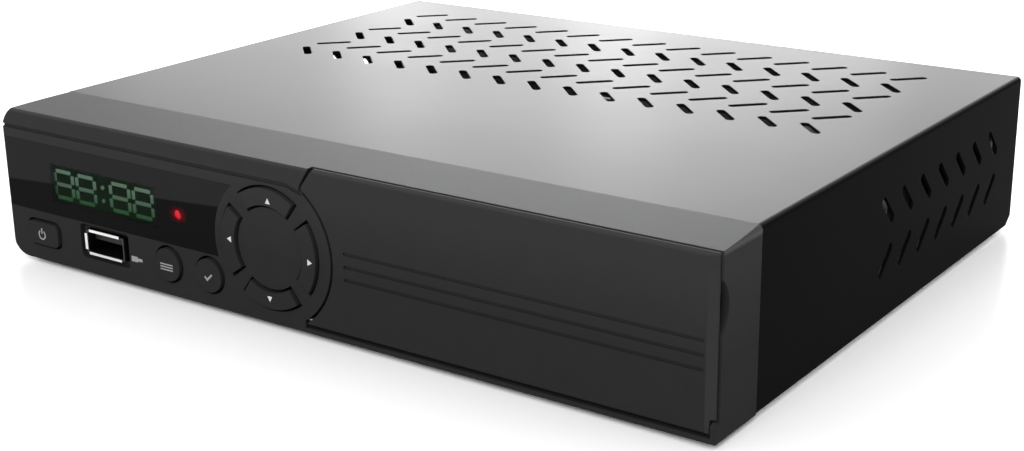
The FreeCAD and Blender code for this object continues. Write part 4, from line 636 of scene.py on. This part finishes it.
def key_marks():
    """Print a power sign, three list bars and a tick, and a plug beside the USB socket."""
    for key, sign, side, rise in KEY_SIGNS:
        centre = middle(key + "_button")
        front_mark(key + "_mark", sign, key + "_button", key + "_key", centre.x + side, centre.z + rise,
                   "grey_plastic")
    low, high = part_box("usb_shell")
    front_mark("usb_mark", PLUG_SIGN, "front_bezel", "case", high.x + PLUG_SIDE, low.z + PLUG_RISE,
               "grey_plastic")


LINE_SIGN = [bar(0, 0, 0.6, 3.0)]
RING_SIGN = [band(1.3, 0.55, 0, 180), band(1.3, 0.55, 180, 360)]
ROCKER_SIGN_RISE = 3.6 * MM


def rocker_marks():
    """Print a line and a ring on the two halves of the mains rocker."""
    centre = middle("mains_rocker")
    for name, sign, rise in (("rocker_line", LINE_SIGN, ROCKER_SIGN_RISE),
                             ("rocker_ring", RING_SIGN, -ROCKER_SIGN_RISE)):
        print_mark(name, sign, "mains_rocker", "rocker", Vector((centre.x, 1, centre.z + rise)), -Y, -X,
                   "white_plastic")


# ---------------------------------------------------------------- screws, feet and rear fittings

HEAD_RADIUS = 2.4 * MM
HEAD_TALL = 1.2 * MM
HEAD_RIM = 0.45 * MM
SHANK_RADIUS = 1.2 * MM
# The dome of the head: its steps, each step's angle in degrees, and the share of it that stays flat
DOME_STEPS = 7
DOME_ANGLE = 12
DOME_FLAT = 0.35
CROSS_ARM = 0.55 * MM
CROSS_REACH = 1.55 * MM
CROSS_DEEP = 0.8 * MM


def cross_outline():
    """The twelve corners of a cross recess."""
    corners = []
    quarter = [(CROSS_ARM, CROSS_REACH), (-CROSS_ARM, CROSS_REACH), (-CROSS_ARM, CROSS_ARM)]
    for _ in range(4):
        corners += quarter
        quarter = [(-y, x) for x, y in quarter]
    return corners


def cover_screws():
    """Pan-head screws with cross recesses through the cover's rear lip."""
    low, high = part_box("cover_screws")
    top = high.y
    seat = top - HEAD_TALL
    rim = seat + HEAD_RIM
    profile = [(low.y, CORE), (low.y, SHANK_RADIUS), (seat, SHANK_RADIUS), (seat, HEAD_RADIUS),
               (rim, HEAD_RADIUS)]
    for step in range(1, DOME_STEPS + 1):
        turn = math.radians(DOME_ANGLE * step)
        profile.append((rim + (top - rim) * math.sin(turn),
                        HEAD_RADIUS * (DOME_FLAT + (1 - DOME_FLAT) * math.cos(turn))))
    profile.append((top, CORE))
    screws, recesses = bmesh.new(), bmesh.new()
    for x in (low.x + HEAD_RADIUS, middle("cover_screws").x, high.x - HEAD_RADIUS):
        place = Vector((x, 0, middle("cover_screws").z))
        turned(screws, profile, place, Y)
        slab(recesses, cross_outline(), place + Y * (top - CROSS_DEEP), -X, Z, CROSS_DEEP * 2)
    heads = carved(new_object("cover_screw_heads", screws), new_object("cross_cutter", recesses))
    smooth(heads)
    dress(heads, "black_screw", "case", "cover_screws")


FOOT_RADIUS = 6 * MM
FOOT_HOLLOW = 0.5 * MM
HOLLOW_RADIUS = 3.1 * MM
# The rounded rim: heights and radii in millimetres
FOOT_RIM = ((0.1, 3.5), (0, 3.8), (0, 5.0), (0.1, 5.3), (0.35, 5.5))
FOOT_TOP_RISE, FOOT_TOP_REACH = 0.2 * MM, 0.1 * MM


def feet():
    """Moulded rubber feet with a rounded rim and a hollow underneath."""
    low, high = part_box("rubber_feet")
    tall = high.z - low.z
    profile = [(FOOT_HOLLOW, CORE), (FOOT_HOLLOW, HOLLOW_RADIUS)]
    profile += [(height * MM, radius * MM) for height, radius in FOOT_RIM]
    profile += [(tall - FOOT_TOP_RISE, FOOT_RADIUS), (tall, FOOT_RADIUS - FOOT_TOP_REACH), (tall, CORE)]
    bm = bmesh.new()
    for x in (low.x + FOOT_RADIUS, high.x - FOOT_RADIUS):
        for y in (low.y + FOOT_RADIUS, high.y - FOOT_RADIUS):
            turned(bm, profile, Vector((x, y, low.z)), Z)
    made = new_object("moulded_feet", bm)
    smooth(made)
    dress(made, "foot_rubber", "case", "rubber_feet")


USB_WIDE, USB_TALL = 12.5 * MM, 5.12 * MM
USB_SHEET = 0.4 * MM
USB_CORNER = 0.9 * MM
USB_FACE = 0.3 * MM
LIP_GAP = 0.02 * MM
LIP_ROUND = 0.1 * MM
LIP_BEND = 0.15 * MM
LIP_THICK = 0.35 * MM
LIP_ROOT = 0.4 * MM
LEFT_LIP_SHORT = 0.15 * MM


def tube(bm, wide, tall, sheet, centre, start, end):
    """A rectangular tube along y, of the given inner width and height."""
    loops = []
    for y in (start, end):
        for grow in (0, sheet):
            half_wide, half_tall = wide / 2 + grow, tall / 2 + grow
            loops.append([bm.verts.new(Vector((centre.x + across * half_wide, y,
                                               centre.z + rise * half_tall)))
                          for across, rise in ((-1, -1), (1, -1), (1, 1), (-1, 1))])
    near_in, near_out, far_in, far_out = loops
    for first, second in ((near_in, near_out), (near_out, far_out), (far_out, far_in), (far_in, near_in)):
        for step in range(4):
            after = (step + 1) % 4
            bm.faces.new((first[step], first[after], second[after], second[step]))


def usb_mouth():
    """The USB socket: a sleeve in dark metal that paints the shade inside it, with bright lips bent outwards
    above, below and at the left.
    """
    low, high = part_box("usb_shell")
    centre = Vector(((low.x + high.x) / 2, 0, (low.z + high.z) / 2))
    half_wide, half_tall = (high.x - low.x) / 2, (high.z - low.z) / 2
    front = low.y
    face = front + USB_FACE
    sleeve, lips = bmesh.new(), bmesh.new()
    tube(sleeve, USB_WIDE, USB_TALL, USB_SHEET, centre, face, high.y)
    for out, reach, tip, run in ((Z, USB_TALL / 2, half_tall, USB_WIDE - USB_CORNER * 2),
                                 (-Z, USB_TALL / 2, half_tall, USB_WIDE - USB_CORNER),
                                 (-X, USB_WIDE / 2, half_wide - LEFT_LIP_SHORT, USB_TALL - USB_CORNER)):
        inner = reach + LIP_GAP
        outer = inner + USB_SHEET
        section = [(inner, face), (inner, front + LIP_BEND), (reach + LIP_ROUND, front),
                   (tip - LIP_ROUND, front), (tip, front + LIP_ROUND), (tip, front + LIP_THICK),
                   (outer, front + LIP_ROOT), (outer, face)]
        slab(lips, section, centre - out.cross(Y) * run / 2, out, Y, run)
    dress(new_object("usb_lips", lips), "bright_nickel", "case", "usb_shell")
    # The sleeve's dark finish is painted shade inside the socket, whose shell is bright metal like the lips
    dress(new_object("usb_shaded_sleeve", sleeve), "black_aluminium", "case")


THREAD_PITCH = 0.794 * MM
THREAD_DEPTH = 0.42 * MM
THREAD_RADIUS = 4.76 * MM
THREAD_ANGLE = 50
ROWS_PER_PITCH = 8
STEPS_PER_TURN = 64
SHELL_BORE = 3.3 * MM
BORE_FLARE = 0.2 * MM
FLARE_DEEP = 0.15 * MM
NUT_GAP = 0.2 * MM
# The connector's plain end: its length, and how far its two edges are below the thread's crest
END_LONG = 0.7 * MM
END_BEVEL = 0.2 * MM
END_NEAR, END_FAR = 0.5 * MM, 0.7 * MM
PIN_HOLE = 0.6 * MM
PIN_FLARE = 1.2 * MM
PIN_FLARE_DEEP = 0.5 * MM


def aerial_connectors():
    """Threaded connectors with a white insulator round the centre hole."""
    low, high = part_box("aerial_connectors")
    level = middle("aerial_connectors").z
    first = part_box("connector_nuts")[1].y
    last = high.y - END_LONG
    rows = int((last - first) / THREAD_PITCH * ROWS_PER_PITCH)
    crest = [(first + (last - first) * row / rows, THREAD_RADIUS) for row in range(rows + 1)]
    plain = [(low.y, SHELL_BORE), (low.y, THREAD_RADIUS), (first - NUT_GAP, THREAD_RADIUS)]
    mouth = [(high.y - END_BEVEL, THREAD_RADIUS - END_NEAR), (high.y, THREAD_RADIUS - END_FAR),
             (high.y, SHELL_BORE + BORE_FLARE), (high.y - FLARE_DEEP, SHELL_BORE)]
    threaded = range(len(plain), len(plain) + len(crest))
    insulator = [(low.y, PIN_HOLE), (low.y, SHELL_BORE), (last, SHELL_BORE), (last, PIN_FLARE),
                 (last - PIN_FLARE_DEEP, PIN_HOLE)]
    shells, discs = bmesh.new(), bmesh.new()
    for x in (low.x + THREAD_RADIUS, high.x - THREAD_RADIUS):
        place = Vector((x, 0, level))
        turned(shells, plain + crest + mouth, place, Y, STEPS_PER_TURN, (THREAD_PITCH, THREAD_DEPTH),
               threaded)
        turned(discs, insulator, place, Y)
    made = new_object("threaded_connectors", shells)
    smooth(made, THREAD_ANGLE)
    dress(made, "bright_nickel", "case", "aerial_connectors")
    dress(new_object("aerial_insulators", discs), "white_plastic", "case")


RING_HOLE = 1.7 * MM
RING_RADIUS = 3.4 * MM
RING_ROUND = 0.2 * MM
RING_SINK = 0.3 * MM
RING_EDGE_PROUD, RING_PROUD = 0.02 * MM, 0.08 * MM


def phono_insulators():
    """A coloured ring round the hole of each phono socket."""
    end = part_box("phono_sockets")[1].y
    section = [(end - RING_SINK, RING_HOLE), (end + RING_EDGE_PROUD, RING_HOLE),
               (end + RING_PROUD, RING_HOLE + RING_ROUND), (end + RING_PROUD, RING_RADIUS - RING_ROUND),
               (end + RING_EDGE_PROUD, RING_RADIUS), (end - RING_SINK, RING_RADIUS)]
    for name, slot in (("video", "yellow_plastic"), ("left", "white_plastic"), ("right", "red_plastic")):
        centre = middle("phono_ring_" + name)
        bm = bmesh.new()
        turned(bm, section, Vector((centre.x, 0, centre.z)), Y)
        made = new_object("phono_insulator_" + name, bm)
        smooth(made)
        dress(made, slot, "case")


CONTACTS = 8
CONTACT_PITCH = 1.02 * MM
CONTACT_RADIUS = 0.2 * MM
CONTACT_RISE = 3.6 * MM
# A contact's points: how far behind the socket's mouth and below the contact's top, in millimetres
CONTACT_ROUTE = ((2.0, 0), (2.4, 0.5), (9.5, 3.4))


def network_contacts():
    """Eight sprung contact wires inside the network socket."""
    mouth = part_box("network_socket")[1].y
    centre = middle("network_socket")
    data = bpy.data.curves.new("network_contacts", "CURVE")
    data.dimensions = "3D"
    data.bevel_depth = CONTACT_RADIUS
    data.bevel_resolution = 2
    data.use_fill_caps = True
    for index in range(CONTACTS):
        x = centre.x + (index - (CONTACTS - 1) / 2) * CONTACT_PITCH
        line = data.splines.new("POLY")
        line.points.add(len(CONTACT_ROUTE) - 1)
        for point, (behind, drop) in zip(line.points, CONTACT_ROUTE):
            point.co = (x, mouth - behind * MM, centre.z + CONTACT_RISE - drop * MM, 1)
    made = bpy.data.objects.new("network_contacts", data)
    bpy.context.scene.collection.objects.link(made)
    dress(made, "brass_plain", "case")


# ---------------------------------------------------------------- softened edges

KEYS = ("power_button", "menu_button", "ok_button", "up_button", "down_button", "left_button",
        "right_button")
KEY_ROUND = 0.2 * MM
ROCKER_ROUND = 0.4 * MM
FLAT_ANGLE = 0.3


def soften(node, width):
    """Round a CAD node's sharp edges a little; its mesh itself stays as it is."""
    body = nodes[node]
    flat = body.modifiers.new("flat", "DECIMATE")
    flat.decimate_type = "DISSOLVE"
    flat.angle_limit = math.radians(FLAT_ANGLE)
    edge = body.modifiers.new("edge", "BEVEL")
    edge.width = width
    edge.segments = 2
    edge.limit_method = "ANGLE"
    edge.angle_limit = math.radians(SHARP_ANGLE)
    edge.use_clamp_overlap = True
    edge.harden_normals = False


def soft_edges():
    """Rounded edges on the keys and the rocker."""
    for key in KEYS:
        soften(key, KEY_ROUND)
    soften("mains_rocker", ROCKER_ROUND)


# ---------------------------------------------------------------- light, floor and background

WORLD_LIGHT = 0.75
FLOOR_COLOUR = 0.72
FLOOR_SEEN = 1.5
FLOOR_SIDE = 12


def seen_by_eye(tree):
    """1 for rays from the camera, a gloss or a glass, and 0 for the rays that light the object."""
    path = tree.nodes.new("ShaderNodeLightPath")
    total = path.outputs["Is Camera Ray"]
    for name in ("Is Glossy Ray", "Is Transmission Ray"):
        add = tree.nodes.new("ShaderNodeMath")
        add.operation = "MAXIMUM"
        tree.links.new(total, add.inputs[0])
        tree.links.new(path.outputs[name], add.inputs[1])
        total = add.outputs[0]
    return total


def world():
    """White where it is seen, and a plain soft light."""
    made = bpy.data.worlds.new("world")
    made.use_nodes = True
    bpy.context.scene.world = made
    tree = made.node_tree
    background = tree.nodes["Background"]
    background.inputs["Color"].default_value = (1, 1, 1, 1)
    scale = tree.nodes.new("ShaderNodeMapRange")
    scale.inputs["To Min"].default_value = WORLD_LIGHT
    tree.links.new(seen_by_eye(tree), scale.inputs["Value"])
    tree.links.new(scale.outputs["Result"], background.inputs["Strength"])


def floor():
    """Pale satin floor, white where it is seen and lit, that keeps the receiver's shadow."""
    bpy.ops.mesh.primitive_plane_add(size=FLOOR_SIDE)
    plane = bpy.context.object
    plane.name = "floor"
    finish = Finish("floor", Roughness=0.22, IOR=1.25)
    finish.set("Base Color", finish.mix(seen_by_eye(finish.tree), (FLOOR_COLOUR,) * 3, (FLOOR_SEEN,) * 3))
    plane.data.materials.append(finish.material)


def soft_light(name, place, aim, size, power, shape):
    """A soft light that the camera doesn't see."""
    data = bpy.data.lights.new(name, "AREA")
    data.shape = shape
    data.size = data.size_y = size
    data.energy = power
    lamp = bpy.data.objects.new(name, data)
    bpy.context.scene.collection.objects.link(lamp)
    lamp.location = place
    lamp.rotation_mode = "QUATERNION"
    lamp.rotation_quaternion = (Vector(aim) - Vector(place)).to_track_quat("-Z", "Y")
    lamp.visible_camera = False


FRONT_PLACE = (0.3, -1.4, 0.9)
FRONT_SIZE = 0.9
FRONT_POWER = 8.5
REAR_AIM = (0, 0, 0.03)
REAR_REACH = 1.6
REAR_SIZE = 0.40
# Degrees to the left of +Y, degrees above the floor, and power in watts
REAR_ROW = ((4, 12, 0.7), (14, 10, 1.0), (26, 10, 1.75), (36, 10, 1.5), (46, 10, 0.95), (58, 10, 0.45),
            (14, 24, 0.4), (26, 24, 0.8), (36, 24, 0.8), (46, 24, 0.6))


def lights():
    """Two rows of round softboxes behind, brightest in their middle, and a square one in front."""
    for index, (turn, rise, power) in enumerate(REAR_ROW):
        way, up = math.radians(turn), math.radians(rise)
        place = Vector((-math.sin(way) * math.cos(up), math.cos(way) * math.cos(up), math.sin(up)))
        soft_light("rear_softbox_%d" % index, place * REAR_REACH, REAR_AIM, REAR_SIZE, power, "ELLIPSE")
    soft_light("front_softbox", FRONT_PLACE, (0, 0, 0), FRONT_SIZE, FRONT_POWER, "RECTANGLE")


# ---------------------------------------------------------------- the whole picture

camera()
dress_frame()
soft_edges()
arrows()
key_marks()
rocker_marks()
cover_screws()
feet()
usb_mouth()
aerial_connectors()
phono_insulators()
network_contacts()
world()
floor()
lights()

scene = bpy.context.scene
scene.view_settings.view_transform = "Standard"
